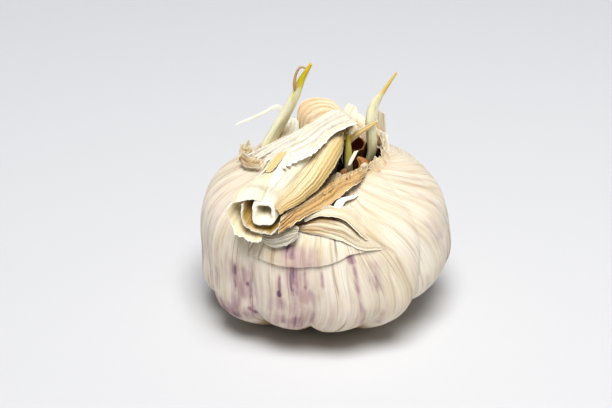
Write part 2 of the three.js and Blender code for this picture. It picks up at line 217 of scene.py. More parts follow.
def feed(tree, node, inputs):
    """A node with each input linked if a socket is given for it, or else set."""
    for name, value in inputs.items():
        if isinstance(value, bpy.types.NodeSocket):
            tree.links.new(value, node.inputs[name])
        else:
            node.inputs[name].default_value = value
    return node


def put(tree, kind, inputs=(), **settings):
    """A new node of a tree, with its settings and its inputs."""
    node = tree.nodes.new(kind)
    for name, value in settings.items():
        setattr(node, name, value)
    return feed(tree, node, dict(inputs))


def maths(tree, operation, *values, clamp=True):
    """The result of a Math node on sockets or numbers, kept between 0 and 1 unless clamp is False."""
    node = put(tree, "ShaderNodeMath", enumerate(values), operation=operation, use_clamp=clamp)
    return node.outputs[0]


def product(tree, first, second):
    """Two masks multiplied."""
    return maths(tree, "MULTIPLY", first, second)


def blend(tree, share, first, second):
    """The first colour at share 0 and the second at share 1."""
    inputs = {0: share, 6: first, 7: second}
    return put(tree, "ShaderNodeMix", inputs, data_type="RGBA").outputs[2]


def ramp(tree, value, low, high, to_low=0.0, to_high=1.0):
    """to_low where the value is low or less, to_high where it is high or more, smooth between."""
    inputs = {"Value": value, "From Min": low, "From Max": high, "To Min": to_low, "To Max": to_high}
    node = put(tree, "ShaderNodeMapRange", inputs, interpolation_type="SMOOTHSTEP")
    return node.outputs["Result"]


def noise(tree, vector, scale, detail):
    """A noise of about 0.2 to 0.8, with features 1 / scale across."""
    return put(tree, "ShaderNodeTexNoise", {"Vector": vector, "Scale": scale, "Detail": detail}).outputs[0]


def divided(tree, vector, divisor):
    """A vector divided by another."""
    return put(tree, "ShaderNodeVectorMath", {0: vector, 1: divisor}, operation="DIVIDE").outputs[0]


def grain_noise(tree, grain, across, along, detail):
    """A noise along the grain, with features that long across and along it, in millimetres."""
    return noise(tree, divided(tree, grain, (across, across, along)), 1, detail)


def mark(tree, name, output="Fac"):
    """A mark of the mesh, as a number or, by its output Vector, as a vector."""
    return put(tree, "ShaderNodeAttribute", attribute_name=name).outputs[output]


def bump(tree, height, distance, strength=1.0):
    """The normal over a height that stands out by a distance in metres."""
    inputs = {"Strength": strength, "Distance": distance, "Height": height}
    return put(tree, "ShaderNodeBump", inputs).outputs[0]


def new_material(name):
    """A material with its Principled shader, and the tree that they are in."""
    material = bpy.data.materials.new(name)
    material.use_nodes = True
    return material, material.node_tree, material.node_tree.nodes["Principled BSDF"]


def corky_material():
    """Cork: brown, blotched by a coarse noise, and pitted by a fine one."""
    material, tree, shader = new_material("root_plate_cork")
    place = put(tree, "ShaderNodeTexCoord").outputs["Object"]
    blotch = noise(tree, place, 700, 4)
    pits = noise(tree, place, 3000, 3)
    base = blend(tree, ramp(tree, blotch, 0.35, 0.65), colour(126, 92, 58), colour(190, 158, 112))
    worn = blend(tree, ramp(tree, pits, 0.55, 0.75), base, colour(86, 60, 38))
    feed(tree, shader, {"Base Color": worn, "Roughness": 0.9, "Normal": bump(tree, pits, 0.0004, 0.8)})
    return material


cork = corky_material()
plate_corner = highest_corner("root_plate")
plate_radius = plate_corner[0]
plate_height = plate_corner[2]
plate_turn = full_turn(160)

# Radius and height round the plate's section, from the middle of its underside to the middle of its top.
plate_section = [
    [0.5, 0], [plate_radius * 0.4, 0], [plate_radius * 0.7, 0], [plate_radius - 0.9, 0],
    [plate_radius - 0.6, 0.05], [plate_radius - 0.2, 0.25], [plate_radius, 0.5], [plate_radius - 0.1, 1],
    [plate_radius - 0.3, 1.4], [plate_radius - 0.5, plate_height], [plate_radius - 1.5, plate_height],
    [0.5, plate_height],
]
plate_t = np.linspace(0, 1, 60)[:, None]
plate_ring = on_line(plate_section, plate_t)
plate_uneven = 1 + 0.025 * rough(plate_turn * 32 / np.pi + 0 * plate_t, plate_t * 9, 11)
plate_rings = upright(plate_ring[..., 0] * plate_uneven, plate_turn, np.maximum(plate_ring[..., 1], 0))

# Root stubs: short bent stems that start inside the plate's edge and end just above what the bulb stands on.
stub_count = 54
stub_radii = [0.36, 0.33, 0.24]
stub_random = np.random.default_rng(5)
stubs = []
for index in range(stub_count):
    turn = 2 * np.pi * (index + stub_random.uniform(-0.35, 0.35)) / stub_count
    sideways = upright(stub_random.uniform(-0.5, 0.5), turn + np.pi / 2, 0)
    reach = stub_random.uniform(0.5, 2.2)
    start_height = stub_random.uniform(0.6, 1.4)
    end_height = stub_random.uniform(0.45, 1.1)
    stub_line = [
        upright(plate_radius - 1, turn, start_height), upright(plate_radius + reach / 2, turn, start_height),
        upright(plate_radius + reach, turn, end_height) + sideways,
    ]
    stubs.append(stem(stub_line, stub_radii, around=8, steps=6, seed=index))
root_plate = mesh_piece("root_plate_cork", joined([solid_of_rings(plate_rings), *stubs]), cork)
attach(root_plate, "root")
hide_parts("root_plate")

# ---------------------------------------------------------------- the wrapped bulb
# The head of cloves under its outer skin: dry paper-thin leaf sheaths, cream with purple streaks, drawn tight
# over the backs of the cloves. At the crown the skin is torn open round a hollow, dark brown with painted
# shade that deepens it to near black.

shoulder_height = highest_corner("bulb")[2]
crown_radius = 11
widest_radius = 30
around_mm = math.pi / 180 * widest_radius  # millimetres round the skin in a degree

# The creases between the cloves: their angles from the front, how strong each is, and their depth from the
# crown down.
crease_angles = np.array([-8.5, 19.5, 51, 82, 110, 141, 170, 200, 231, 262, 292, 324])
crease_strengths = np.array([1, 1, 2.3, 1, 1.2, 0.9, 1, 1.3, 0.9, 1, 1, 1])
crease_depths = [0.1, 0.2, 0.3, 0.6, 1.4, 1.6, 0.5]

# How many degrees each crease has moved round by the time it reaches the roots.
crease_drift = [2.7, 6, -8, 0, 2, -3, 0, 2, 0, -2, 2, 3]

# How far each clove stands out at its belly and at its foot, starting right of the first crease.
clove_bellies = np.array([0, 0.5, -0.2, 0.1, 0.2, 0.4, 0, 0.3, 0.1, -0.3, 0.5, 0])
clove_feet = np.array([0, 0.6, -1.8, 0.5, 0.2, 0.2, 0, 0, 0.3, 0.5, 1.1, -0.3])

# The middles of the skin's rings from the crown down. Angles on the skin are from the front, so Y turns over.
skin_centres = [
    [3, 0.6, 0], [1.2, 0.2, 0], [0, 0, 0], [0, 0, 0], [0.6, 0, 0], [-1, 0, 0], [-1.1, 0, 0], [0, 0, 0]
]
from_front = np.array([1, -1, 1])

# The skin's outline from the crown's rim to the root plate, as radius and height.
skin_outline = [
    [crown_radius, shoulder_height], [17, shoulder_height - 1.9], [24.6, shoulder_height - 6.2], [28.6, 27],
    [widest_radius - 0.1, 18], [29, 9.9], [23.7, 4.7], [16, 0.9], [plate_radius + 1.6, plate_height + 0.5],
]
outline_points = on_line(skin_outline, np.linspace(0, 1, 2001))
outline_down = np.concatenate([[0], np.cumsum(np.linalg.norm(np.diff(outline_points, axis=0), axis=1))])
outline_slope = np.gradient(outline_points, outline_down, axis=0)
outline_length = outline_down[-1]


def bell(distance, width):
    """1 at no distance, and falling off on both sides as exp of -(distance / width) squared."""
    return np.exp(-((distance / width) ** 2))


def grain_angle(angle, down):
    """The angle of the fibre through a place. On the right the fibres lean forward as they rise, by 66
    degrees times the 2.4th power of 1 - down / 40."""
    share = ease(angle, -5, 24) * (1 - ease(angle, 100, 175))
    return angle + 66 * share * np.clip(1 - down / 40, 0, 1) ** 2.4


def relief(angle, down):
    """How far fibres and pleats stand out of the skin: broad, middling and fine random ridges down it."""
    fibre = grain_angle(angle, down) / 360
    broad = rough(fibre * 48, down / 26, 21, around=48)
    middling = np.abs(rough(fibre * 96, down / 22, 22, around=96))
    fine = rough(fibre * 260, down / 14, 23, around=260)
    return 0.13 * broad - 0.1 * middling + 0.03 * fine


def on_skin(angle, down, lift=0.0):
    """Points on the skin at angles from the front, in degrees, at distances down it from the crown's rim.

    The outline is turned about a middle that leans with its height. Each clove stands out by
    1 - |2 across - 1| to the power 2.6 between its two creases, and the relief and the lift are added.
    """
    angle, down, lift = np.broadcast_arrays(angle, down, lift)
    t = down / outline_length
    drift = np.interp(angle, crease_angles, crease_drift, period=360) * ease(t, 0.35, 0.7)
    turned = (angle - drift - crease_angles[0]) % 360 + crease_angles[0]
    index = np.searchsorted(crease_angles, turned, side="right") - 1
    following = np.append(crease_angles, crease_angles[0] + 360)[index + 1]
    across = (turned - crease_angles[index]) / (following - crease_angles[index])
    back = 1 - np.abs(2 * across - 1) ** 2.6
    strength = crease_strengths[(index + (across >= 0.5)) % len(crease_angles)]
    belly = clove_bellies[index] * ease(t, 0.1, 0.5)
    foot = (clove_feet - clove_bellies)[index] * ease(t, 0.45, 0.75)
    bulge = (belly + foot) * (1 - ease(t, 0.85, 1))
    out = lift - on_line(crease_depths, t) * strength * (1 - back) + bulge * back + relief(angle, down)
    slope = [np.interp(down, outline_down, outline_slope[:, axis]) for axis in (0, 1)]
    radius = np.interp(down, outline_down, outline_points[:, 0]) - slope[1] * out
    height = np.interp(down, outline_down, outline_points[:, 1]) + slope[0] * out
    return upright(radius, np.radians(angle), height) * from_front + on_line(skin_centres, t)


def skin_grain(angle, down):
    """Where a place is on the fibres, in millimetres: the fibre's angle on a circle, and the way down it."""
    return upright(widest_radius, np.radians(grain_angle(angle, down)), down)


def bell_lines(angle, down, lines):
    """The strongest of several soft lines down the skin. Each is a bell across it, round angles that are
    joined up from place to place down it, and it eases out at both ends. Where a line leans, it is wider
    round the skin, and fainter, by the root of 1 + lean squared."""
    share = 0 * angle * down
    for angles, downs, width, strength in lines:
        offset = ((angle - np.interp(down, downs, angles) + 180) % 360 - 180) * around_mm
        lean = (np.interp(down + 1, downs, angles) - np.interp(down - 1, downs, angles)) * around_mm / 2
        wider = np.sqrt(1 + lean**2)
        soft = 0.125 * (downs[-1] - downs[0]) + 0.2
        begun, ended = (ease(down, end - soft, end + soft) for end in (downs[0], downs[-1]))
        share = np.maximum(share, strength / wider * bell(offset, width * wider) * begun * (1 - ended))
    return share


# Purple streaks: angles from the top to the bottom, ways down to each, width in millimetres, strength.
front_streaks = [
    ((-42.8, -43.3), (27, 33.5), 0.65, 1.1), ((-43.2, -44.2, -42), (30, 35, 41), 0.8, 0.6),
    ((-43, -43.5), (26, 41), 2.2, 0.5), ((-39.5, -39.5), (27, 36), 2.6, 0.5),
    ((-37.2, -37.3), (31, 32.2), 0.55, 1.0),
    ((-34.5, -34.2, -35.8, -36.2, -35), (26, 28.7, 31.6, 35.9, 39), 0.6, 0.65),
    ((-35, -36), (26, 39), 1.8, 0.4), ((-37, -34.2, -31), (37.6, 40, 42.5), 0.55, 1.05),
    ((-20, -20.8), (26.5, 32), 0.5, 0.75), ((-20.5, -20, -18.5), (32, 36.3, 41), 1.0, 0.55),
    ((-21, -21), (31.1, 32.4), 0.55, 1.5), ((-14.5, -14.6), (24, 31), 0.75, 1.0),
    ((-14.5, -14.8, -12), (29, 34.1, 44), 1.1, 0.66), ((-13.5, -12.5), (23.5, 44), 3.1, 0.54),
    ((-9.2, -8.8), (25, 30), 0.6, 0.75), ((-7.5, -7.2, -5), (29.5, 33.8, 42), 1.4, 0.5),
    ((-1.5, -1.2), (25, 29.3), 0.55, 0.7), ((-26, -25), (33, 43), 1.6, 0.3), ((2, 3), (34, 43), 1.2, 0.22),
    ((11.2, 12.4), (21.6, 23.8), 0.8, 1.2),
    ((12.4, 13.2, 13.5, 14.2, 17.5), (22.6, 25, 28.8, 32.6, 41), 0.6, 0.6),
    ((16, 18.5), (35.5, 42), 0.8, 0.6), ((21.5, 22.5), (23.5, 31.5), 1.7, 0.42),
    ((22.2, 22.8), (24.6, 31), 0.4, 0.6), ((19.4, 20), (24.6, 29), 0.4, 0.45),
    ((24.8, 28.2), (36, 42.5), 1.0, 0.4), ((52.8, 58), (32.5, 40), 0.8, 0.35),
    ((-56.5, -56.8), (30.5, 36.5), 1.3, 0.5), ((-65, -60), (35, 44), 2.6, 0.42),
    ((-52, -50), (28, 31.5), 0.6, 0.3), ((-16.4, -14.4), (19.4, 22.8), 1.5, 0.95),
    ((-13.5, -9), (19.8, 25.4), 3.6, 0.52), ((-75, -68), (14, 34), 1.6, 0.22),
    ((62, 70), (19, 27), 1.8, 0.36), ((80, 84), (22, 30), 1.4, 0.3), ((64, 72, 84), (13, 18, 24), 1.0, 0.4),
    ((56, 63, 72), (19, 25, 32), 1.2, 0.34), ((-62, -62), (14, 30), 1.2, 0.28),
    ((-69, -68), (10, 30), 0.9, 0.3), ((-54, -55), (17, 27), 0.8, 0.24), ((-82, -80), (12, 32), 1.4, 0.3),
    ((-48, -49), (24, 34), 0.7, 0.3),
]

# Random streaks of the same kind at the sides and the back. The wide ones are faint.
side_streak_count = 70
streak_random = np.random.default_rng(8)
side_streaks = []
for _ in range(side_streak_count):
    angle = streak_random.uniform(72, 292)
    top = streak_random.uniform(22, 36)
    bottom = top + streak_random.uniform(4, 16)
    width = streak_random.choice([0.35, 0.5, 0.8, 1.8, 2.6])
    strength = streak_random.uniform(0.35, 1) * (0.45 if width > 1 else 1)
    lean = streak_random.uniform(-1, 1)
    side_streaks.append(((angle, angle + lean), (top, bottom), width, strength))

# Thin tan veins that stand out, in the same way: the right shoulder's bend with the fibres.
skin_veins = [
    ((61, 69, 87), (7.8, 11.2, 17.8), 0.36, 0.9),
    ((52, 60, 71, 75.5, 87), (7.5, 13, 18, 21.5, 28.5), 0.34, 0.6),
    ((24.5, 35, 40, 44.5), (14, 17.5, 21, 25), 0.28, 0.7), ((14.6, 25, 33), (15, 19.5, 23), 0.28, 0.8),
    ((33, 36, 39, 40.6), (24, 28, 32.5, 37), 0.25, 0.7), ((47, 51), (28, 36), 0.2, 0.5),
    ((3.4, 5.2), (23.8, 31), 0.25, 0.7), ((9.5, 10.5), (24, 36), 0.2, 0.35),
    ((28, 31), (25, 38), 0.25, 0.4), ((-32.2, -34, -36.5), (19.6, 21.5, 24.2), 0.22, 0.9),
    ((-28, -29.5, -30.8), (19.4, 22, 24.6), 0.2, 0.9), ((-17.8, -16.8), (20.4, 24), 0.2, 0.5),
    ((-10.2, -9.5), (19, 24), 0.2, 0.4), ((-25, -25.5), (26, 40), 0.2, 0.3),
    ((-3.5, -3), (20, 24), 0.2, 0.4), ((4.5, 5.6), (19.5, 23), 0.2, 0.4), ((-62, -60), (8, 26), 0.25, 0.3),
]

# More veins follow the fibres all round, and they are wider towards the back.
vein_random = np.random.default_rng(17)
for fibre_angle in np.arange(-90, 268, 9.5):
    vein_down = vein_random.uniform(2, 16) + np.linspace(0, vein_random.uniform(8, 20), 6)
    vein_angle = fibre_angle + vein_random.uniform(-3, 3)
    for _ in range(6):  # each step about halves how far the vein is off its fibre
        vein_angle = vein_angle + 0.5 * (fibre_angle - grain_angle(vein_angle, vein_down))
    width = 0.28 + 0.4 * math.sin(math.radians(fibre_angle / 2)) ** 2
    skin_veins.append((vein_angle, vein_down, width, vein_random.uniform(0.2, 0.5)))


def purple_share(angle, down):
    """How purple the skin is: its streaks, on a faint patchy blush that grows towards the roots and the
    front, and a stronger blush low on the left."""
    coarse = rough(angle / 6, down / 9, 31, around=60)
    fine = rough(angle / 2, down / 12, 32, around=180)
    patchy = 0.62 + 0.3 * coarse + 0.26 * fine
    blush = (0.08 + 0.33 * bell(angle + 18, 28)) * ease(down, 18, 34) * patchy
    low_left = 0.85 * bell(angle + 48, 15) * bell(down - 41, 3.4)
    streaks = bell_lines(angle, down, front_streaks + side_streaks)
    return np.maximum(streaks, np.maximum(blush, low_left)) + 0.2 * np.minimum(streaks, blush)


def skin_tan(angle, down):
    """How tan the skin is: at the torn crown, over the shoulder, as a patch of painted shade beside the loose
    fold where the neck shades it, in a dull patch low on the front right, and most of all underneath, where
    the roots were."""
    dull = 0.16 * bell(angle - 29, 13) * ease(down, 20, 26) * (1 - ease(down, 36, 42))
    # Painted shade: tan beside the loose fold, where the neck shades the skin.
    painted_shade_by_fold = 0.34 * bell(angle - 23, 12) * bell(down - 15, 6)
    shoulder = 0.3 * (1 - ease(down, 0, 5)) + 0.15 * (1 - ease(down, 10, 28))
    return shoulder + painted_shade_by_fold + dull + 0.9 * ease(down, 45, 51)


def new_group(name, inputs, outputs):
    """An empty shader group with those sockets, what is given to it, and its output node."""
    group = bpy.data.node_groups.new(name, "ShaderNodeTree")
    for in_out, sockets in (("INPUT", inputs), ("OUTPUT", outputs)):
        for socket, kind in sockets.items():
            group.interface.new_socket(socket, in_out=in_out, socket_type="NodeSocket" + kind)
    return group, put(group, "NodeGroupInput").outputs, put(group, "NodeGroupOutput")


def papery_group():
    """Dry leaf: bands, ribs and fibres along the grain turn the pale colour towards the tan, thin veins run
    its length where a long noise crosses its middle, and the torn rim has its own colour. Height is for a
    bump."""
    group, given, result = new_group(
        "papery_leaf",
        {"Grain": "Vector", "Tan Share": "Float", "Rim": "Float", "Vein Mark": "Float", "Pale": "Color",
         "Tan": "Color", "Vein": "Color", "Torn": "Color", "Spacing": "Float", "Vein Share": "Float"},
        {"Colour": "Color", "Roughness": "Float", "Height": "Float"},
    )
    spread = {0: given["Spacing"], 1: given["Spacing"], 2: 1.0}
    spaced = divided(group, given["Grain"], put(group, "ShaderNodeCombineXYZ", spread).outputs[0])
    band = ramp(group, grain_noise(group, spaced, 4.5, 60, 2), 0.4, 0.62, 0, 0.16)
    rib = ramp(group, grain_noise(group, spaced, 1.7, 26, 2), 0.4, 0.66)
    mottle = ramp(group, grain_noise(group, spaced, 3, 6, 3), 0.35, 0.65)
    fibre = grain_noise(group, spaced, 0.36, 12, 2)
    off_line = maths(group, "SUBTRACT", grain_noise(group, spaced, 2.2, 400, 0), 0.5, clamp=False)
    presence = ramp(group, grain_noise(group, spaced, 3, 16, 1), 0.46, 0.62)
    thin = product(group, ramp(group, maths(group, "ABSOLUTE", off_line), 0, 0.022, 1, 0), presence)
    vein = maths(group, "MAXIMUM", product(group, thin, given["Vein Share"]), given["Vein Mark"])
    ribbed = maths(group, "ADD", band, product(group, product(group, rib, mottle), 0.26))
    lined = maths(group, "ADD", ribbed, ramp(group, fibre, 0.42, 0.7, 0, 0.15))
    base = blend(group, maths(group, "ADD", given["Tan Share"], lined), given["Pale"], given["Tan"])
    bright = blend(group, ramp(group, fibre, 0.46, 0.3, 0, 0.2), base, colour(255, 252, 242))
    veined = blend(group, product(group, vein, 0.72), bright, given["Vein"])
    edged = blend(group, ramp(group, given["Rim"], 0.35, 0.95, 0, 0.75), veined, given["Torn"])
    raised = maths(group, "ADD", product(group, fibre, 0.45), product(group, rib, 0.5))
    feed(group, result, {
        "Colour": edged, "Roughness": ramp(group, mottle, 0, 1, 0.46, 0.6),
        "Height": maths(group, "SUBTRACT", raised, product(group, vein, 0.3)),
    })
    return group


def purple_group():
    """Purple in the skin: the share of the mark, broken up along the fibres, turns the colour through mauve
    to deep purple."""
    group, given, result = new_group(
        "purple_streaks", {"Colour": "Color", "Grain": "Vector", "Purple": "Float"}, {"Colour": "Color"}
    )
    fibre = grain_noise(group, given["Grain"], 0.7, 7, 3)
    patch = grain_noise(group, given["Grain"], 2.2, 3.5, 3)
    fibrous = product(group, given["Purple"], ramp(group, fibre, 0.3, 0.62, 0.62, 1))
    broken = product(group, fibrous, ramp(group, patch, 0.35, 0.6, 0.62, 1))
    mauve = blend(group, ramp(group, broken, 0, 0.6, 0, 0.88), given["Colour"], colour(190, 158, 163))
    deep = blend(group, ramp(group, broken, 0.42, 0.95, 0, 0.9), mauve, colour(118, 92, 114))
    feed(group, result, {"Colour": deep})
    return group


papery_leaf = papery_group()
purple_streaks = purple_group()


def paper_node(tree, paper_colours, spacing, vein_share, tan_share=None):
    """The papery leaf in a material, reading the marks of the mesh. Its colours are the pale one, the tan,
    the veins' and the torn rim's, as screen values."""
    colours = {name: colour(*value) for name, value in zip(("Pale", "Tan", "Vein", "Torn"), paper_colours)}
    return put(tree, "ShaderNodeGroup", {
        "Grain": mark(tree, "grain", "Vector"), "Tan Share": tan_share or mark(tree, "tan_share"),
        "Rim": mark(tree, "rim"), "Vein Mark": mark(tree, "vein"), **colours, "Spacing": spacing,
        "Vein Share": vein_share,
    }, node_tree=papery_leaf).outputs


def finish_leaf(tree, shader, base, paper, relief, glow):
    """A dry leaf's surface: its colour, the paper's roughness and relief, and a little light let through."""
    feed(tree, shader, {
        "Base Color": base, "Roughness": paper["Roughness"], "Specular IOR Level": 0.35,
        "Subsurface Weight": glow, "Subsurface Radius": (1.0, 0.7, 0.45), "Subsurface Scale": 0.0012,
        "Normal": bump(tree, paper["Height"], relief),
    })


def skin_material(name, *paper_colours):
    """Outer skin: the papery leaf with purple streaks, and where the mark says it is inside, dark brown that
    painted shade deepens to near black.
    """
    material, tree, shader = new_material(name)
    paper = paper_node(tree, paper_colours, spacing=1.0, vein_share=1.0)
    grain = mark(tree, "grain", "Vector")
    purple = put(tree, "ShaderNodeGroup", {
        "Colour": paper["Colour"], "Grain": grain, "Purple": mark(tree, "purple"),
    }, node_tree=purple_streaks).outputs[0]
    blotch = ramp(tree, noise(tree, grain, 0.9, 4), 0.4, 0.65)
    # Painted shade: the hollow's brown is blotched down to near black, for the shade deep in the crown.
    hollow_painted_shade = blend(tree, blotch, colour(34, 15, 8), colour(96, 58, 30))
    base = blend(tree, mark(tree, "inside"), purple, hollow_painted_shade)
    finish_leaf(tree, shader, base, paper, relief=0.00012, glow=0.15)
    return material


outer_skin = skin_material("outer_skin", (244, 236, 221), (206, 182, 142), (150, 118, 76), (246, 236, 212))

# Columns of points: closest together round the front, by 38 degrees times the sine of their place.
column_place = np.linspace(-1, 1, 540, endpoint=False)
bulb_angle = 180 * column_place - 38 * np.sin(np.pi * column_place)
no_angle = 0 * bulb_angle

# Rings of skin from the roots up, with a torn rim at the top.
skin_down = np.linspace(outline_length, 0, 128)[:, None]
skin_rings = on_skin(bulb_angle, skin_down)
torn_rim = 0.5 * rough(bulb_angle / 9, no_angle, 41, around=40)
torn_rim = torn_rim + 0.25 * rough(bulb_angle / 3, no_angle, 42, around=120)
skin_rings[..., 2] += torn_rim * (1 - ease(skin_down, 0, 2.5))

# The underside runs in from the skin's end to the root plate's middle, above the plate.
underside_share = np.linspace(0.05, 0.95, 10)[:, None]
underside_rings = skin_rings[0] * [1, 1, 0] * underside_share[..., None] + [0, 0, plate_height + 0.5]

# The hollow: from the rim down a wall with dry ribs to an uneven floor.
floor_height = shoulder_height - 6.8
hollow_section = [
    [crown_radius - 0.3, shoulder_height - 0.1], [crown_radius - 0.6, shoulder_height - 0.6],
    [crown_radius - 1.2, shoulder_height - 2.5], [crown_radius - 1.8, floor_height + 1.3],
    [crown_radius - 2.6, floor_height], [crown_radius - 6, floor_height], [1, floor_height],
]
hollow_t = np.linspace(0, 1, 24)[:, None]
hollow_ring = on_line(hollow_section, hollow_t)
below_rim = ease(hollow_t, 0, 0.2)
ribs = 0.35 * rough(bulb_angle / 6 + 0 * hollow_t, hollow_t * 3, 43, around=60) * below_rim
hollow_height = hollow_ring[..., 1] + ribs + torn_rim * (1 - below_rim)
hollow_rings = upright(hollow_ring[..., 0] + ribs, np.radians(bulb_angle), hollow_height) * from_front
hollow_rings += skin_centres[0]

bulb_rings = np.concatenate([underside_rings, skin_rings, hollow_rings])
down_marks = np.concatenate([0 * underside_share + outline_length, skin_down, 0 * hollow_t]) + no_angle
way_in = np.concatenate([0 * underside_share, 0 * skin_down, hollow_t]) + no_angle
# The inside mark gives the hollow the skin material's dark brown, which painted shade deepens to near black.
inside_marks = ease(way_in, 0, 0.15)
outside_marks = 1 - inside_marks
bulb = mesh_piece("wrapped_bulb", solid_of_rings(
    bulb_rings,
    grain=skin_grain(bulb_angle, down_marks) - way_in[..., None] * [0, 0, 12],
    purple=purple_share(bulb_angle, down_marks) * outside_marks,
    vein=bell_lines(bulb_angle, down_marks, skin_veins) * outside_marks,
    tan_share=skin_tan(bulb_angle, down_marks) * outside_marks,
    rim=(1 - ease(down_marks, 0, 0.7)) * outside_marks,
    inside=inside_marks,
), outer_skin)
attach(bulb, "root")
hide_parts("bulb")

# ---------------------------------------------------------------- cap skin
# A second layer of the same papery skin lies over the front shoulder. It is torn off along a curved edge that
# stands a little clear of the layer below, and elsewhere it clings to it.


def unit_normals(points):
    """The normal at each point of a grid: the cross product of its two directions."""
    return unit(np.cross(np.gradient(points, axis=1), np.gradient(points, axis=0)))


def closed_sheet(points, thickness, **marks):
    """A closed solid round a grid of points: half the thickness to each side of it along its normal, with a
    rim joining the two faces. The mark `inside` is 1 on the face behind."""
    half = unit_normals(points) * np.asarray(thickness)[..., None] / 2
    rows, columns = points.shape[:2]
    count = rows * columns
    numbers = np.arange(count).reshape(rows, columns)
    quads = np.stack([numbers[:-1, :-1], numbers[:-1, 1:], numbers[1:, 1:], numbers[1:, :-1]], -1)
    front = quads.reshape(-1, 4)
    loop = np.concatenate([numbers[0], numbers[1:, -1], numbers[-1, -2::-1], numbers[-2:0:-1, 0]])
    ahead = np.roll(loop, -1)
    rim = np.stack([ahead, loop, loop + count, ahead + count], -1)
    faces = np.concatenate([front, front[:, ::-1] + count, rim])
    both = np.concatenate([(points + half).reshape(-1, 3), (points - half).reshape(-1, 3)])
    carried = {name: np.tile(values.reshape(count, -1), (2, 1)) for name, values in marks.items()}
    carried["inside"] = np.repeat([[0.0], [1.0]], count, axis=0)
    return both, [faces], carried


def jagged(x, seed):
    """A torn edge: bites of 0 to 1 that are coarse, middling and fine along x, which is in millimetres."""
    bites = ((0.5, 3.1), (0.3, 1.1), (0.2, 0.4))  # the depth and the length of each kind
    return sum(
        depth * np.abs(rough(x / length, 0 * x, seed + number))
        for number, (depth, length) in enumerate(bites)
    )


# The torn edge, as ways down at angles from the front, with its corners rounded off.
cap_edge_angles = [-50, -43, -38, -34, -27, -17, -10, -2.5, 4.5, 8.2, 11.2, 15.2, 21.8, 30, 38]
cap_edge_downs = [19.5, 21.6, 22.9, 23.7, 24.1, 24.5, 24.4, 23.9, 23.1, 22.3, 21.6, 21.4, 21.2, 21.6, 22.4]
cap_top = 6
rounding = 7
cap_angle = np.linspace(cap_edge_angles[0], cap_edge_angles[-1], 250)
cap_edge = np.interp(cap_angle, cap_edge_angles, cap_edge_downs)
cap_edge = np.convolve(np.pad(cap_edge, rounding // 2, "edge"), np.ones(rounding) / rounding, "valid")
cap_edge -= 0.2 * jagged(cap_angle / 2, 51)
cap_v = np.linspace(0, 1, 80)[:, None] ** 0.8
cap_down = cap_top + (cap_edge - cap_top) * cap_v
cap_free = ease(cap_angle, -50, -34) * (1 - ease(cap_angle, 10, 36))
cap_wave = 0.25 * rough(cap_angle / 6, 0 * cap_angle, 52) + 0.12 * rough(cap_angle / 2.5, 0 * cap_angle, 53)
cap_lift = -0.25 + (0.75 + 0.7 * cap_wave) * ease(cap_v, 0.1, 0.95) * cap_free
edge_purple = 0.2 * ease(cap_v, 0.55, 0.9) * bell(cap_angle + 12, 16)
edge_tan = 0.2 * ease(cap_v, 0.55, 0.85) * (1 - ease(cap_angle, -2, 12))
cap_solid = closed_sheet(
    on_skin(cap_angle, cap_down, cap_lift),
    0.22 + 0 * cap_down,
    grain=skin_grain(cap_angle, cap_down),
    purple=purple_share(cap_angle, cap_down) * ease(cap_v, 0.4, 0.6) + edge_purple,
    vein=bell_lines(cap_angle, cap_down, skin_veins),
    tan_share=skin_tan(cap_angle, cap_down) + edge_tan,
    rim=0.7 * ease(cap_down - cap_edge, -0.3, -0.1) * cap_free,
)
# Its underside is hidden against the bulb, so it needs none of the dark brown, with painted shade, that the
# skin's material gives to inner sides.
del cap_solid[2]["inside"]
cap_skin = mesh_piece("cap_skin_layer", cap_solid, outer_skin)
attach(cap_skin, "root")
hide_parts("cap_skin")

# ---------------------------------------------------------------- pleated skin
# Loose skin on the front shoulder. A smooth lobe reaches in from the right with a thick white torn edge, and
# from under it a gathered strip fans out of a pocket at the left and runs into the skin at the right.


def on_sheet(rows, u, v):
    """Points on a sheet through rows of points: Catmull-Rom along each row by u, and from row to row by v."""
    rows = np.asarray(rows, float)
    row_share = spline_weights(rows.shape[0], v)
    place_share = spline_weights(rows.shape[1], u)
    return np.einsum("...r,...c,rck->...k", row_share, place_share, rows)


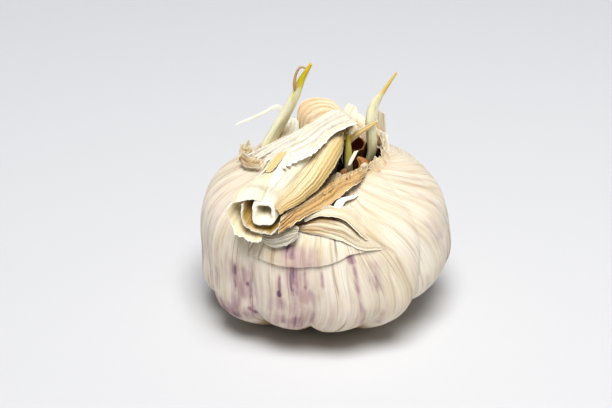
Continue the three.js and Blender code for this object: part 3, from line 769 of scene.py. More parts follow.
def dry_leaf(rows, torn, root=0.0, folds=0.0, fold=0.0, wrinkle=0.1, curl=0.0, thickness=0.2, size=(60, 90),
             seed=0, tan=0.0, slits=()):
    """A dry leaf through rows of points, with its fibres running from row to row.

    u is the share of the way across and v along. Each edge (first, last, left, right) is drawn in by its
    share of `torn` times a jagged line, and the last also by each slit, (u, width, depth), of depth times
    1 - |distance| / width. The first row is carried back by `root`. Folds along v lift the sheet by `fold`
    times the absolute sine of their place across, random ridges by `wrinkle`, and its torn edges turn up by
    `curl`. `tan` is a number or a function of u and v.
    """
    u, v = np.meshgrid(np.linspace(0, 1, size[0]), np.linspace(0, 1, size[1]))
    width = np.linalg.norm(np.diff(on_sheet(rows, u, v), axis=1), axis=-1).sum(1).mean()
    length = np.linalg.norm(np.diff(on_sheet(rows, u, v), axis=0), axis=-1).sum(0).mean()
    start, end, left, right = torn
    bite_start = start * jagged(u * width + 3, seed) - root
    bite_end = end * jagged(u * width + 7, seed + 3)
    for place, half_width, depth in slits:
        bite_end = np.maximum(bite_end, depth * (1 - np.abs(u - place) / half_width))
    bite_left = left * jagged(v * length + 11, seed + 6)
    bite_right = right * jagged(v * length + 17, seed + 9)
    across = bite_left + (1 - bite_left - bite_right) * u
    along = bite_start + (1 - bite_start - bite_end) * v
    points = on_sheet(rows, across, along)
    fold_wobble = 0.6 * rough(u * 2 + 3, v * 3, seed + 14)
    creased = np.abs(np.sin(np.pi * (u * folds + fold_wobble))) - 0.5
    ridges = rough(u * width / 1.6 + 5, v * length / 14, seed + 12)
    ridges = ridges + 0.5 * rough(u * width / 0.6, v * length / 14, seed + 13)
    reach = 0.28  # millimetres from an edge in which its thin pale rim fades by a factor of e
    from_edges = (v * length, (1 - v) * length, u * width, (1 - u) * width)
    rim = np.max([(bite > 0) * np.exp(-far / reach) for bite, far in zip(torn, from_edges)], axis=0)
    points = points + unit_normals(points) * (wrinkle * ridges + fold * creased + curl * rim)[..., None]
    return closed_sheet(
        points,
        thickness * (1 - 0.5 * rim),
        rim=rim,
        tan_share=(tan(u, v) if callable(tan) else tan) + 0 * u,
        vein=0.7 * bell(creased + 0.5, 0.16) * (fold > 0),
        grain=np.stack([u * width, 0 * u + 7.3 * seed, v * length], -1),
    )


def skin_rows(rows):
    """Rows of points on the skin from rows of angles, of ways down and of lifts."""
    return [on_skin(*row) for row in rows]


def leaf_material(name, *paper_colours, inside=0.3, spacing=0.8, vein_share=1.0, relief=0.0002, glow=0.25):
    """A torn leaf: the papery leaf, with more tan on the inner side."""
    material, tree, shader = new_material(name)
    behind = product(tree, mark(tree, "inside"), inside)
    tan_share = maths(tree, "ADD", mark(tree, "tan_share"), behind)
    paper = paper_node(tree, paper_colours, spacing, vein_share, tan_share)
    finish_leaf(tree, shader, paper["Colour"], paper, relief, glow)
    return material


grey_skin = leaf_material(
    "grey_inner_skin", (244, 234, 211), (188, 152, 104), (132, 98, 56), (254, 250, 240), inside=0.4
)
gathered_rows = skin_rows([
    ((-17.5, -17, -17), (14.9, 15.4, 15.9), (0.2, 0.4, 0.2)),
    ((-12.5, -12.5, -12), (14.7, 15.6, 16.4), (0.6, 1.1, 0.6)),
    ((-7, -7, -7), (13.5, 15.2, 16.8), (0.8, 1.2, 0.6)),
    ((-2, -2, -2), (13.1, 15.3, 17.3), (0.8, 1.2, 0.6)),
    ((3, 3, 3), (13.2, 15.7, 17.9), (0.8, 1.2, 0.6)),
    ((8, 8, 7.5), (13.8, 16.3, 18.5), (0.6, 1.1, 0.6)),
    ((13, 12.5, 11.5), (15.4, 17.6, 19.5), (0.3, 0.8, 0.6)),
    ((19, 18, 17), (17.4, 19.3, 20.9), (-0.2, 0.4, 0.5)),
    ((25, 24.5, 24), (19.2, 20.4, 21.4), (-0.5, 0, 0.2)),
    ((31, 31, 31), (21.4, 21.6, 21.9), (-0.4, -0.3, -0.4)),
])
lobe_rows = skin_rows([
    ((-12, -11.6, -11), (14.3, 14.6, 14.9), (2.3, 2.2, 2.0)),
    ((-9.5, -9, -8.5), (12.9, 13.6, 14.2), (2.5, 2.4, 2.1)),
    ((-4.5, -4.5, -4.5), (12.0, 12.8, 13.5), (2.5, 2.4, 2.1)),
    ((0, 0, 0), (10.9, 12.3, 13.6), (2.2, 2.2, 2.0)),
    ((4, 5, 5), (10.9, 12.4, 13.9), (1.5, 1.9, 2.0)),
    ((9, 9.8, 10), (10.2, 12.6, 14.9), (0.6, 1.3, 1.7)),
    ((14, 14, 14), (10.2, 13.5, 16.8), (-0.3, 0.7, 1.4)),
    ((19, 18.5, 18), (11, 15, 18.6), (-0.5, 0.1, 0.8)),
    ((25, 24, 23), (12, 16, 20), (-0.6, -0.5, -0.4)),
])


def gathered_tan_and_shade(u, v):
    """A little tan all over, and more as painted shade in the pocket at the left, where the strip starts, and
    along the edge that lies under the lobe.
    """
    return 0.12 + 0.42 * (1 - ease(v, 0.1, 0.75)) + 0.4 * bell(u, 0.16) * ease(0.75 - v, 0, 0.4)


pleated_skin = mesh_piece("pleated_skin_fold", joined([
    dry_leaf(
        gathered_rows, torn=(0.02, 0.02, 0, 0.06), folds=4, fold=0.3, wrinkle=0.08, size=(84, 130), seed=60,
        tan=gathered_tan_and_shade,
    ),
    dry_leaf(
        lobe_rows, torn=(0.03, 0, 0.1, 0.1), wrinkle=0.07, curl=0.25, thickness=0.34, size=(60, 120), seed=64,
        tan=lambda u, v: 0.08 + 0.4 * ease(u, 0.7, 0.95),
    ),
]), grey_skin)
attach(pleated_skin, "root")
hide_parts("pleated_skin")

# ---------------------------------------------------------------- torn curl
# The outer skin's torn edge behind the fold has dried and rolled up on itself into a thick white curl. It is
# closed at both ends, and its right end runs into the skin.

white_leaf = leaf_material(
    "white_dry_leaf", (254, 251, 243), (238, 220, 178), (226, 204, 158), (255, 253, 246),
    inside=0.2, vein_share=0.7, relief=0.0001,
)


def plain_marks(solid, tan=0.0):
    """A solid with only the grain of its marks and one share of tan, for the leaf materials."""
    points, faces, marks = solid
    return points, faces, {"grain": marks["grain"], "tan_share": np.full((len(points), 1), tan)}


curl_line = on_skin([2.6, 5, 7, 10, 15.2, 19.5], [11.9, 10.6, 9.4, 8.6, 8, 7], [1.1, 1.4, 1.3, 1, 0.7, 0.2])
curl_radii = [0.5, 0.85, 0.75, 0.5, 0.4, 0.25]
torn_curl = mesh_piece("torn_skin_curl", plain_marks(
    stem(curl_line, curl_radii, around=28, steps=70, flute=0.18, flutes=3, seed=61)
), white_leaf)
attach(torn_curl, "root")
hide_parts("torn_curl")

# ---------------------------------------------------------------- neck
# The neck is the dried false stem: leaf sheaths rolled round each other, bent over to the front left and cut
# off. The innermost is a tube with thick pale walls, open at the cut.

neck_line = [
    [-0.8, 2.6, 33.2], [-0.8, 0.8, 41.4], [-2.6, -6.5, 44.4], [-6.4, -15.2, 43.4], [-11, -22.6, 40.6],
    [-13.6, -27, 37.3],
]
neck_radii = [3.8, 4.2, 4.3, 4.5, 3.7, 2.8]
cut_facing = [-0.25, -0.93, 0.27]


def round_neck(t, angle, radius):
    """Points about the neck's line at t, at an angle in degrees from its right over its top, and a radius."""
    return about_line(neck_line, t, np.radians(angle), radius, cut_facing)


neck_angle = np.linspace(0, 360, 96, endpoint=False)
outside_t = np.linspace(0, 1, 110)[:, None] + 0 * neck_angle
near_cut = ease(outside_t, 0.8, 1)
folds = 0.12 * rough(neck_angle / 15 + 0 * outside_t, outside_t * 5, 71, around=24)
folds = folds + 0.05 * rough(neck_angle / 5 + 0 * outside_t, outside_t * 8, 72, around=72)

# Near the cut the tube is a rounded square, and so is its hole: their corners bulge.
outside_bulge = 0.085
hole_bulge = 0.09
hole_steps = 14
corners = np.cos(np.radians(4 * (neck_angle - 45)))
outside_uneven = folds * (1 - 0.7 * near_cut) + outside_bulge * corners * near_cut
outside_radius = on_line(neck_radii, outside_t) * (1 + outside_uneven)
hole_t = np.concatenate([[1.004, 1.0], np.linspace(0.99, 0.8, hole_steps)])[:, None] + 0 * neck_angle
hole_share = np.concatenate([[0.86, 0.7], np.full(hole_steps, 0.64)])[:, None]
hole_radius = neck_radii[-1] * hole_share * (1 + hole_bulge * corners)
in_hole = np.concatenate([0 * outside_t, ease(hole_share, 0.9, 0.66) + 0 * hole_t])
neck_t = np.concatenate([outside_t, hole_t])
neck_turn = np.radians(neck_angle)
right_tan = 0.28 * ease(np.cos(neck_turn - np.radians(20)), 0.25, 0.95)
top_tan = 0.1 * ease(np.sin(neck_turn), 0.2, 0.9) * (1 - ease(neck_t, 0.82, 1))
# Painted shade: the hole's wall turns tan the deeper it goes into the tube.
hole_painted_shade = 0.5 * ease(1 - neck_t, 0, 0.1)
neck_leaf = leaf_material(
    "neck_leaf", (248, 244, 231), (218, 200, 154), (214, 194, 146), (252, 250, 240),
    inside=0.28, vein_share=0.8, relief=0.00018,
)
neck_core = mesh_piece("neck_core_tube", solid_of_rings(
    round_neck(neck_t, neck_angle, np.concatenate([outside_radius, hole_radius])),
    grain=upright(4.2, neck_turn, neck_t * 46),  # the neck's mean radius and its length
    rim=ease(neck_t, 0.985, 1) * (1 - in_hole),
    tan_share=(right_tan + top_tan) * (1 - in_hole) + hole_painted_shade * in_hole,
), neck_leaf)
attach(neck_core, "root")
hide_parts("neck_core")


def neck_rows(rows):
    """Rows round the neck, each given as its way along the line and pairs of angle and radius."""
    return [round_neck(np.full(len(places), t), *np.transpose(places)) for t, places in rows]


# Each sheath is rolled round the tube and cut off with it. Their inner faces and their parts deep in the neck
# are tan as painted shade between the rolled layers, and the inner one's olive is painted shade in the gap
# round the tube. Each has its rows, its torn edges, its thickness, how much painted shade it has deep in the
# neck, how tan it is at its side edges, and its finish.
# Its olive tan is painted shade, for the gap between the inner sheath and the tube.
olive_shade_sheath = leaf_material(
    "olive_shade_sheath", (248, 244, 231), (184, 156, 96), (170, 138, 84), (252, 250, 240),
    inside=0.3, vein_share=0.8, relief=0.00018,
)
neck_sheaths = {
    "sheath_inner": ([
        (0.56, [(165, 3.9), (205, 3.9), (245, 3.9), (285, 3.9), (322, 3.9)]),
        (0.67, [(165, 4.9), (205, 4.9), (245, 4.9), (285, 4.9), (322, 4.8)]),
        (0.8, [(165, 5.1), (205, 5), (245, 4.8), (285, 4.8), (322, 4.8)]),
        (0.92, [(165, 5.2), (205, 5.1), (245, 4.8), (285, 4.9), (322, 4.6)]),
        (1.0, [(162, 5.6), (205, 5.5), (245, 5), (285, 5.1), (324, 4.6)]),
    ], (0, 0.08, 0.03, 0.03), 0.6, 0.7, 0, olive_shade_sheath),
    "sheath_outer": ([
        (0.68, [(178, 4.4), (202, 4.4), (226, 4.4), (246, 4.4), (264, 4.4)]),
        (0.78, [(178, 5.9), (202, 5.8), (226, 5.6), (246, 5.5), (264, 5.4)]),
        (0.89, [(178, 7.8), (202, 7.5), (226, 6.9), (246, 6.5), (264, 6.2)]),
        (1.0, [(176, 9.2), (202, 9), (228, 8.3), (246, 7.6), (264, 6.9)]),
    ], (0, 0.1, 0.08, 0.05), 0.5, 0, 0, neck_leaf),
    "neck_tongue": ([
        (0.72, [(98, 3.3), (114, 3.5), (128, 3.6), (138, 3.6)]),
        (0.84, [(98, 3.0), (120, 4.0), (138, 4.9), (150, 5.6)]),
        (0.92, [(98, 2.8), (124, 4.1), (146, 5.6), (158, 7.4)]),
        (1.0, [(100, 2.5), (130, 3.7), (152, 5.2), (166, 7.4)]),
    ], (0, 0.05, 0.06, 0.04), 0.4, 0, 0.7, neck_leaf),
}
for number, (node, (rows, torn, thickness, deep_shade, edge_tan, finish)) in enumerate(neck_sheaths.items()):
    def sheath_tan_and_shade(u, v):
        """Tan: some all over, more deep in the neck as painted shade between the rolled layers, and more at
        the two side edges.
        """
        edges = ease(np.abs(u - 0.5), 0.4, 0.5)
        return 0.45 - 0.3 * ease(v, 0.3, 0.95) + deep_shade * (1 - ease(v, 0.85, 1)) + edge_tan * edges

    sheath = mesh_piece(node + "_leaf", dry_leaf(
        neck_rows(rows), torn=torn, wrinkle=0.07, thickness=thickness, root=0.1, seed=80 + 20 * number,
        tan=sheath_tan_and_shade,
    ), finish)
    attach(sheath, "root")
    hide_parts(node)

# ---------------------------------------------------------------- dry leaves along the neck
# Two leaf blades that died first run along the right of the neck: a golden one that still hugs it, and below
# it a brown one with ribs, which has sprung clear of the crown.

golden_leaf = leaf_material(
    "golden_dry_leaf", (246, 241, 228), (234, 204, 144), (202, 156, 88), (252, 244, 222),
    inside=0.35, spacing=0.45,
)
brown_dry_leaf = leaf_material(
    "brown_dry_leaf", (250, 238, 210), (218, 184, 134), (172, 124, 76), (252, 244, 222),
    inside=0.35, spacing=0.7, relief=0.0003,
)
tan_rows = neck_rows([
    (0.25, [(52, 4.2), (36, 5.0), (18, 5.8), (-4, 5.6)]),
    (0.43, [(48, 4.3), (32, 5.4), (14, 6.8), (-8, 7.4)]),
    (0.6, [(42, 4.3), (28, 5.4), (10, 6.9), (-10, 7.8)]),
    (0.74, [(38, 4.0), (26, 4.9), (8, 6.2), (-10, 6.8)]),
    (0.92, [(36, 3.2), (24, 3.8), (10, 4.5), (-6, 4.9)]),
    (1.0, [(36, 2.6), (24, 2.9), (12, 3.4), (-4, 3.7)]),
])
tan_leaf = mesh_piece("golden_neck_leaf", dry_leaf(
    tan_rows, torn=(0, 0.02, 0.06, 0.1), folds=9, fold=0.14, wrinkle=0.08, size=(120, 140), seed=140,
    tan=lambda u, v: (0.1 * ease(u, 0.15, 0.5) + 0.6 * ease(u, 0.5, 0.96)) * (1 - 0.3 * ease(v, 0.3, 0.9)),
), golden_leaf)
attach(tan_leaf, "root")
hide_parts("tan_leaf")


def ribbon_rows(line, half_widths, across):
    """Rows of a narrow strip: at each point of a line, half its width to either side along one direction."""
    sideways = unit(np.array(across, float))
    return [
        [point - sideways * half, point, point + sideways * half]
        for point, half in zip(np.asarray(line, float), half_widths)
    ]


# A scrap of the same golden leaf is left on the neck's upper left, with loose golden fibres at its end. Its
# deep tan is also painted shade, for the shaded hollow under the flap's lower edge.
scrap_rows = neck_rows([
    (0.5, [(108, 4.2), (124, 4.3), (142, 4.3), (158, 4.2)]),
    (0.6, [(108, 4.4), (124, 4.6), (142, 4.7), (158, 4.5)]),
    (0.69, [(112, 4.3), (124, 4.7), (140, 4.8), (154, 4.6)]),
    (0.78, [(120, 4.0), (126, 4.3), (132, 4.4), (138, 4.3)]),
])
golden_scraps = [dry_leaf(
    scrap_rows, torn=(0.05, 0.2, 0.1, 0.16), folds=4, fold=0.2, wrinkle=0.12, size=(50, 60), seed=150, tan=0.8
)]
# Each fibre has its line, and how far half its width goes back, which is also how far it goes down.
loose_fibres = [
    ([[-12, -11.6, 45.2], [-13.4, -12.6, 43.8], [-15.2, -13.6, 42]], 0.14),
    ([[-11, -11.4, 45], [-12.8, -13, 43.2], [-14.2, -14.6, 41.6]], 0.12),
    ([[-13.4, -10.6, 44.8], [-14, -12.4, 43.6], [-13.6, -14.4, 42.6]], 0.1),
    ([[-9.8, -12, 46], [-11.6, -13.8, 44.4], [-12.4, -15.2, 43]], 0.12),
    ([[-14.6, -10.4, 44.4], [-15.8, -12, 43.4], [-17.4, -12.6, 42.6]], 0.1),
]
for line, back in loose_fibres:
    golden_scraps.append(dry_leaf(
        ribbon_rows(line, 3 * [math.hypot(back, back)], (0, 1, -1)), torn=(0, 0.1, 0, 0), wrinkle=0.02,
        thickness=0.12, size=(5, 24), seed=170, tan=0.8,
    ))
golden_scrap = mesh_piece("golden_neck_scrap_shade", joined(golden_scraps), golden_leaf)
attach(golden_scrap, "root")

brown_rows = [
    [[12.4, -5.4, 39.6], [10.4, -9.6, 39.6], [8.4, -13.8, 38.9]],
    [[8, -8.4, 39.6], [7, -13, 39.9], [5.8, -17.8, 38.7]],
    [[4.2, -11.6, 39.2], [3.8, -16, 39.8], [3.4, -20.6, 38]],
    [[1.2, -15.8, 39.2], [0.9, -19.6, 39.2], [0.4, -23.2, 37]],
    [[-2.4, -20.2, 38.6], [-2.7, -23, 38], [-2.9, -25.1, 36]],
    [[-6.2, -23.8, 38], [-6.8, -26, 36.9], [-7.3, -27.9, 34.5]],
    [[-10, -27.6, 37], [-10.4, -28.8, 35], [-10.8, -29.2, 32.9]],
]
brown_leaf = mesh_piece("brown_neck_leaf", dry_leaf(
    brown_rows, torn=(0.1, 0.04, 0.2, 0.14), folds=4, fold=0.5, wrinkle=0.26, size=(80, 150), seed=160,
    tan=lambda u, v: 0.15 + 0.5 * ease(u, 0.2, 0.8),
), brown_dry_leaf)
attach(brown_leaf, "root")
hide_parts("brown_leaf")

# ---------------------------------------------------------------- collar flap
# A scrap of grey inner skin under the neck's cut end, still joined to the bulb by its upper edge. It dried
# wavy, with ribs across it and one small point.

collar_rows = skin_rows([
    ((-32, -33, -33), (18.8, 19.2, 19.6), (1.9, 1.8, 1.5)),
    ((-27, -27, -27), (17.6, 19, 20.3), (2.6, 2.3, 1.5)),
    ((-22, -22, -22.4), (16.8, 18.8, 21), (3, 2.7, 1.5)),
    ((-17.5, -17.5, -18), (16.4, 18, 20.3), (3.1, 2.9, 1.7)),
    ((-14.2, -14.2, -14.6), (16, 17.5, 19.4), (3.2, 3, 2.2)),
    ((-11.6, -11.4, -11.2), (16.4, 17.1, 17.9), (3.2, 3.1, 2.7)),
])
ribbed_skin = leaf_material(
    "grey_ribbed_skin", (222, 215, 200), (168, 152, 128), (120, 104, 84), (240, 234, 220), spacing=0.6
)
collar_flap = mesh_piece("collar_skin_flap", dry_leaf(
    collar_rows, torn=(0.02, 0.1, 0.05, 0.14), folds=6, fold=0.2, wrinkle=0.08, size=(90, 100), seed=180,
    tan=lambda u, v: 0.2 + 0.2 * np.cos(u * 14 + 2 * v),
), ribbed_skin)
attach(collar_flap, "root")
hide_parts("collar_flap")

# ---------------------------------------------------------------- neck flap
# A wide white leaf has torn loose at the back of the crown and lies over the neck. Its tip points left, and
# its lower left edge is torn into fingers along the fibres.

flap_rows = [
    [[0.2, 8.8, 41], [1.6, 8.4, 42.2], [3.6, 6.8, 43.6], [5.8, 4, 44.6]],
    [[0.4, 8.2, 45.4], [3, 6, 47.6], [5.6, 1.4, 48.2], [7.8, -0.8, 47]],
    [[-5.6, 2.4, 43.9], [-2, 0.6, 47], [0.8, -6.4, 49.6], [2.6, -9, 48.6]],
    [[-8.4, -4, 45.6], [-5.8, -6, 47.6], [-3.4, -12.8, 49.2], [-0.6, -15.8, 48]],
    [[-11.6, -8.4, 46.2], [-9.8, -10.2, 47], [-7.4, -16, 48.2], [-4.2, -20.6, 47.4]],
    [[-14.7, -10, 45.3], [-13, -11.5, 45.5], [-10.6, -16, 46.2], [-7.1, -22.3, 46.7]],
    [[-17.8, -10.8, 43.9], [-16.1, -12, 43.7], [-13.2, -16, 44.2], [-9, -22.8, 46.2]],
]
flap_slits = (
    (0.1, 0.02, 0.2), (0.22, 0.03, 0.3), (0.36, 0.02, 0.18), (0.5, 0.06, 0.34), (0.66, 0.03, 0.2),
    (0.8, 0.04, 0.2),
)
neck_flap = mesh_piece("white_neck_flap", dry_leaf(
    flap_rows, torn=(0, 0.04, 0.06, 0.08), root=0.12, folds=8, fold=0.16, wrinkle=0.06, size=(170, 190),
    seed=200, slits=flap_slits, tan=lambda u, v: 0.25 * (1 - ease(v, 0, 0.2)),
), white_leaf)
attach(neck_flap, "root")
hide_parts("neck_flap")

# ---------------------------------------------------------------- clove tips
# The tips of three cloves stand in the hollow, in their own dry brown husks. They grow from the root plate
# with the rest of the head. The back one has split open, and its mouth shows.


def clove_tip_material():
    """The clove's own dry husk: brown, with dark fibres up it, paler to the tip, and with painted shade that
    darkens it to near black towards its foot in the hollow.
    """
    material, tree, shader = new_material("clove_tip_husk")
    along = mark(tree, "along")
    fibre = grain_noise(tree, mark(tree, "grain", "Vector"), 0.16, 2.5, 3)
    body = blend(tree, ramp(tree, fibre, 0.3, 0.7), colour(140, 82, 44), colour(206, 146, 90))
    tipped = blend(tree, ramp(tree, along, 0.55, 1, 0, 0.6), body, colour(214, 176, 122))
    # Painted shade: towards its foot, deep in the hollow, the husk darkens to near black.
    low = blend(tree, ramp(tree, along, 0, 0.5, 0.75, 0), tipped, colour(44, 22, 12))
    feed(tree, shader, {"Base Color": low, "Roughness": 0.55, "Normal": bump(tree, fibre, 0.0002)})
    return material


clove_husk = clove_tip_material()
clove_tips = {
    "clove_tip_right": (
        [[9.1, -2.4, 32.6], [9.5, -2.2, 35.2], [9.2, -1.2, 37], [7.8, 0, 38.2]], [1.8, 1.9, 1.4, 0.4]
    ),
    "clove_tip_front": (
        [[4, -5.4, 32.4], [4, -5.4, 34.4], [4.4, -5, 36.2], [5, -4.2, 37.2]], [1.8, 1.6, 1.1, 0.4]
    ),
}
for number, (node, (line, radii)) in enumerate(clove_tips.items()):
    tip = mesh_piece(node + "_husk", stem(
        line, radii, around=64, steps=50, flute=0.07, flutes=7, seed=220 + number
    ), clove_husk)
    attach(tip, "root")
    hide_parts(node)

back_tip_line = [[7, 5.6, 32.6], [7.2, 5.8, 35.4], [7.4, 5.2, 38], [7.5, 3.6, 40.1]]
back_tip_radii = [1.9, 2.2, 2.3, 2.1]
back_tip_facing = [0, -0.75, 0.66]
mouth_steps = 16
tip_turn = full_turn(72)
tip_t = np.concatenate([np.linspace(0, 1, 50), [1.01, 1], np.linspace(0.97, 0.5, mouth_steps)])
tip_t = tip_t[:, None] + 0 * tip_turn
tip_wall = np.concatenate([np.ones(50), [0.94, 0.88], np.full(mouth_steps, 0.82)])[:, None]
tip_ribs = 1 + 0.05 * np.cos(9 * tip_turn) + 0.06 * rough(tip_turn * 6 / np.pi, tip_t * 4, 230, around=12)
tip_radius = on_line(back_tip_radii, tip_t) * tip_wall * tip_ribs
tip_rings = about_line(back_tip_line, tip_t, tip_turn, tip_radius, back_tip_facing)
tip_rings[..., 2] += 0.3 * rough(tip_turn * 12 / np.pi, 0 * tip_turn, 231, around=24) * ease(tip_t, 0.7, 1)
back_tip = mesh_piece("clove_tip_back_husk", solid_of_rings(
    tip_rings, grain=upright(2, tip_turn, tip_t * 8), along=np.where(tip_wall < 0.86, 0.5, tip_t),
), clove_husk)
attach(back_tip, "root")
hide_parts("clove_tip_back")

# ---------------------------------------------------------------- shoots
# Three green shoots have grown up out of the cloves. Each is a rolled young leaf, pale where it leaves the
# bulb, yellow-green above and dried orange at its tip. A brown dry sheath still clings to the left one's end.


def shoot_material(name, base, middle, tip, turns_at):
    """A young leaf: three colours up its length, each of which turns to the next at a place along it, with
    thin lines and a waxy shine."""
    material, tree, shader = new_material(name)
    grain = mark(tree, "grain", "Vector")
    fibre = grain_noise(tree, grain, 0.18, 5, 2)
    blotch = grain_noise(tree, grain, 1.2, 2.5, 2)
    moved = maths(tree, "ADD", mark(tree, "along"), product(tree, ramp(tree, blotch, 0.35, 0.7), 0.12))
    low = blend(tree, ramp(tree, moved, turns_at[0], turns_at[0] + 0.2), colour(*base), colour(*middle))
    high = blend(tree, ramp(tree, moved, turns_at[1], turns_at[1] + 0.16), low, colour(*tip))
    lined = blend(tree, ramp(tree, fibre, 0.5, 0.7, 0, 0.35), high, colour(176, 160, 74))
    feed(tree, shader, {
        "Base Color": lined, "Roughness": 0.38, "Normal": bump(tree, fibre, 0.0001, 0.7),
        "Subsurface Weight": 0.2, "Subsurface Radius": (0.8, 1.0, 0.3), "Subsurface Scale": 0.001,
    })
    return material


green_shoot = shoot_material("green_shoot", (250, 246, 216), (226, 210, 48), (240, 184, 84), (0.7, 0.93))
pale_shoot = shoot_material("pale_shoot", (248, 242, 204), (246, 242, 210), (244, 212, 130), (0.3, 0.78))
small_shoot = shoot_material("small_shoot", (228, 224, 190), (212, 202, 120), (214, 192, 60), (0.4, 0.84))
shoots = {
    "sprout_left": ([
        [-15.6, 6.3, 34.2], [-14, 6.1, 37.4], [-11.5, 5.8, 42.4], [-9.2, 5.5, 46.6], [-7, 5, 51.4],
        [-5.3, 4.5, 55.9], [-3.1, 4, 60.1],
    ], [1.4, 1.45, 1.35, 1.3, 1.15, 0.78, 0.36], green_shoot),
    "sprout_right": ([
        [9.8, 4.2, 32.5], [11.2, 3.6, 38], [11, 3.7, 42.4], [10.8, 4, 46], [11.6, 4.5, 49.6],
        [13.6, 4.5, 52.9], [16.7, 4, 58],
    ], [0.85, 1.1, 1.2, 1.25, 1.1, 0.58, 0.22], pale_shoot),
    "sprout_centre": ([
        [5.6, -2.2, 32.5], [5.6, -2.2, 37], [5.5, -1.6, 40.8], [5.4, -0.8, 44.6],
    ], [1, 1, 0.85, 0.4], small_shoot),
}
for number, (node, (line, radii, finish)) in enumerate(shoots.items()):
    shoot = mesh_piece(node + "_leaf", stem(
        line, radii, around=40, steps=110, flute=0.07, flutes=3, seed=240 + number
    ), finish)
    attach(shoot, "root")
    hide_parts(node)

husk_line = [[-6.6, 4.4, 52.6], [-6.9, 3.7, 55], [-6.6, 3.4, 57.6], [-5.6, 3.2, 59.5], [-4.3, 3.2, 59.4]]
husk_radii = [0.3, 0.36, 0.26, 0.26, 0.16]
husk = mesh_piece("sprout_left_dry_sheath", plain_marks(
    stem(husk_line, husk_radii, around=16, steps=50, flute=0.15, flutes=2, seed=250), tan=0.8
), brown_dry_leaf)
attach(husk, "root")
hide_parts("sprout_left_husk")

# ---------------------------------------------------------------- leaf bases round the crown
# What is left of the outer leaves stands round the crown: torn scraps of papery skin that grow out of its
# rim, small tatters between them, narrow strips, and loose fibres in the hollow.

upper_skin = leaf_material(
    "upper_skin_scrap", (248, 238, 214), (214, 176, 128), (176, 132, 84), (250, 242, 222)
)
fan_skin = leaf_material(
    "fan_skin", (250, 240, 220), (226, 190, 146), (214, 172, 128), (252, 244, 226), relief=0.00012
)
back_wall_rows = [
    [[4.6, 7.6, 35], [8.6, 8, 35], [12.6, 6.6, 35], [14, 3, 35]],
    [[4.8, 8.8, 40], [8.4, 9.2, 40.2], [12.2, 8, 39.4], [14.6, 4.6, 38.2]],
    [[5, 10.4, 42.6], [8.2, 10.8, 43.2], [11.6, 9.6, 41.6], [15, 6.4, 39.4]],
    [[5.2, 12.2, 43.6], [8, 12.6, 44], [11.2, 11.4, 42.4], [15.2, 7.8, 40]],
]
back_wall = mesh_piece("crown_back_wall", dry_leaf(
    back_wall_rows, torn=(0, 0.2, 0.1, 0.14), folds=4, fold=0.2, wrinkle=0.14, size=(72, 72), seed=290,
    tan=0.15,
), fan_skin)
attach(back_wall, "root")

# Each leaf's rows from its foot up, how far its foot is carried down into the bulb, its finish and slot, how
# tan it is, and its folds' number and height.
standing_leaves = {
    "back_fan": ([
        [[-1, 7.2, 40], [-4, 8.4, 41], [-6.8, 9.4, 41]],
        [[0, 7.2, 41], [-3.6, 9.2, 43.6], [-6.6, 11, 44.6]],
        [[1, 7.3, 41.8], [-2.4, 10, 45], [-5.7, 12.2, 46.9]],
        [[2, 7.4, 42], [-0.4, 10.6, 45.8], [-2.4, 13, 48]],
        [[2.8, 7.4, 42], [1.8, 10.6, 45.4], [1.2, 13, 47.6]],
        [[3.2, 7.4, 41.6], [3.2, 9.8, 44.2], [3.5, 12.2, 46.2]],
        [[3.4, 7.4, 41], [3.9, 9, 42.6], [4.7, 10.8, 44]],
        [[3.2, 7.4, 40], [3.8, 8.2, 40.6], [5, 9, 41]],
    ], 0, fan_skin, "upper_skin", 0.05, (6, 0.3)),
    "back_skin": ([
        [[-12, 5.6, 39.4], [-9, 6.4, 40], [-6, 7, 40.6]],
        [[-11.6, 8, 41.4], [-8.4, 8.8, 42.4], [-5.8, 9.2, 42.8]],
        [[-11, 10, 42], [-8.2, 10.8, 43.4], [-6, 11, 43.6]],
    ], 0.35, white_leaf, "upper_skin", 0.1, (4, 0.2)),
    "back_tab": ([
        [[3.8, 9.8, 40.6], [6.2, 9.6, 40.8], [8.8, 9.2, 40.4]],
        [[4, 11.4, 43.6], [6.4, 11.4, 44], [8.4, 11, 43.2]],
        [[5.6, 13.4, 46], [6.8, 13.4, 46.4], [7.8, 13, 45.6]],
    ], 0.35, fan_skin, "white_leaf", 0, (3, 0.2)),
    "right_fingers": ([
        [[11.6, 10.4, 38.8], [13.2, 9.8, 38.8], [15, 9, 38.4]],
        [[12.4, 10.6, 42], [13.6, 10.2, 42], [14.8, 9.6, 41.6]],
        [[12.8, 10.6, 46.4], [13.6, 10.4, 46], [14.6, 10, 45.2]],
    ], 0.35, fan_skin, "dry_leaf", 0, (0, 0)),
    "right_shred": ([
        [[13.4, 7.4, 39], [14.6, 6.2, 38.8], [15.4, 4.8, 38.5]],
        [[13.4, 7.8, 41.4], [14.6, 7.2, 41.4], [15.2, 6.6, 40.6]],
    ], 0.35, white_leaf, "white_leaf", 0.05, (0, 0)),
    "left_tab": ([
        [[-20.4, 4.6, 36.2], [-18.8, 5.2, 37], [-17, 5.6, 37.6]],
        [[-19.6, 4.8, 40], [-18.8, 5, 39.6], [-17.8, 5, 41]],
    ], 0.35, upper_skin, "upper_skin", 0, (2, 0.2)),
    "left_collar": ([
        [[-20.2, 2.4, 36.2], [-19.6, 2.2, 37.4], [-18.8, 2, 38.6]],
        [[-18.6, -2.2, 36.8], [-17.8, -2.1, 38], [-17, -2, 39.2]],
        [[-15, -5.6, 38], [-14.2, -5.4, 39.2], [-13.6, -5.2, 40.2]],
    ], 0, grey_skin, "grey_skin", 0.1, (2, 0.15)),
}
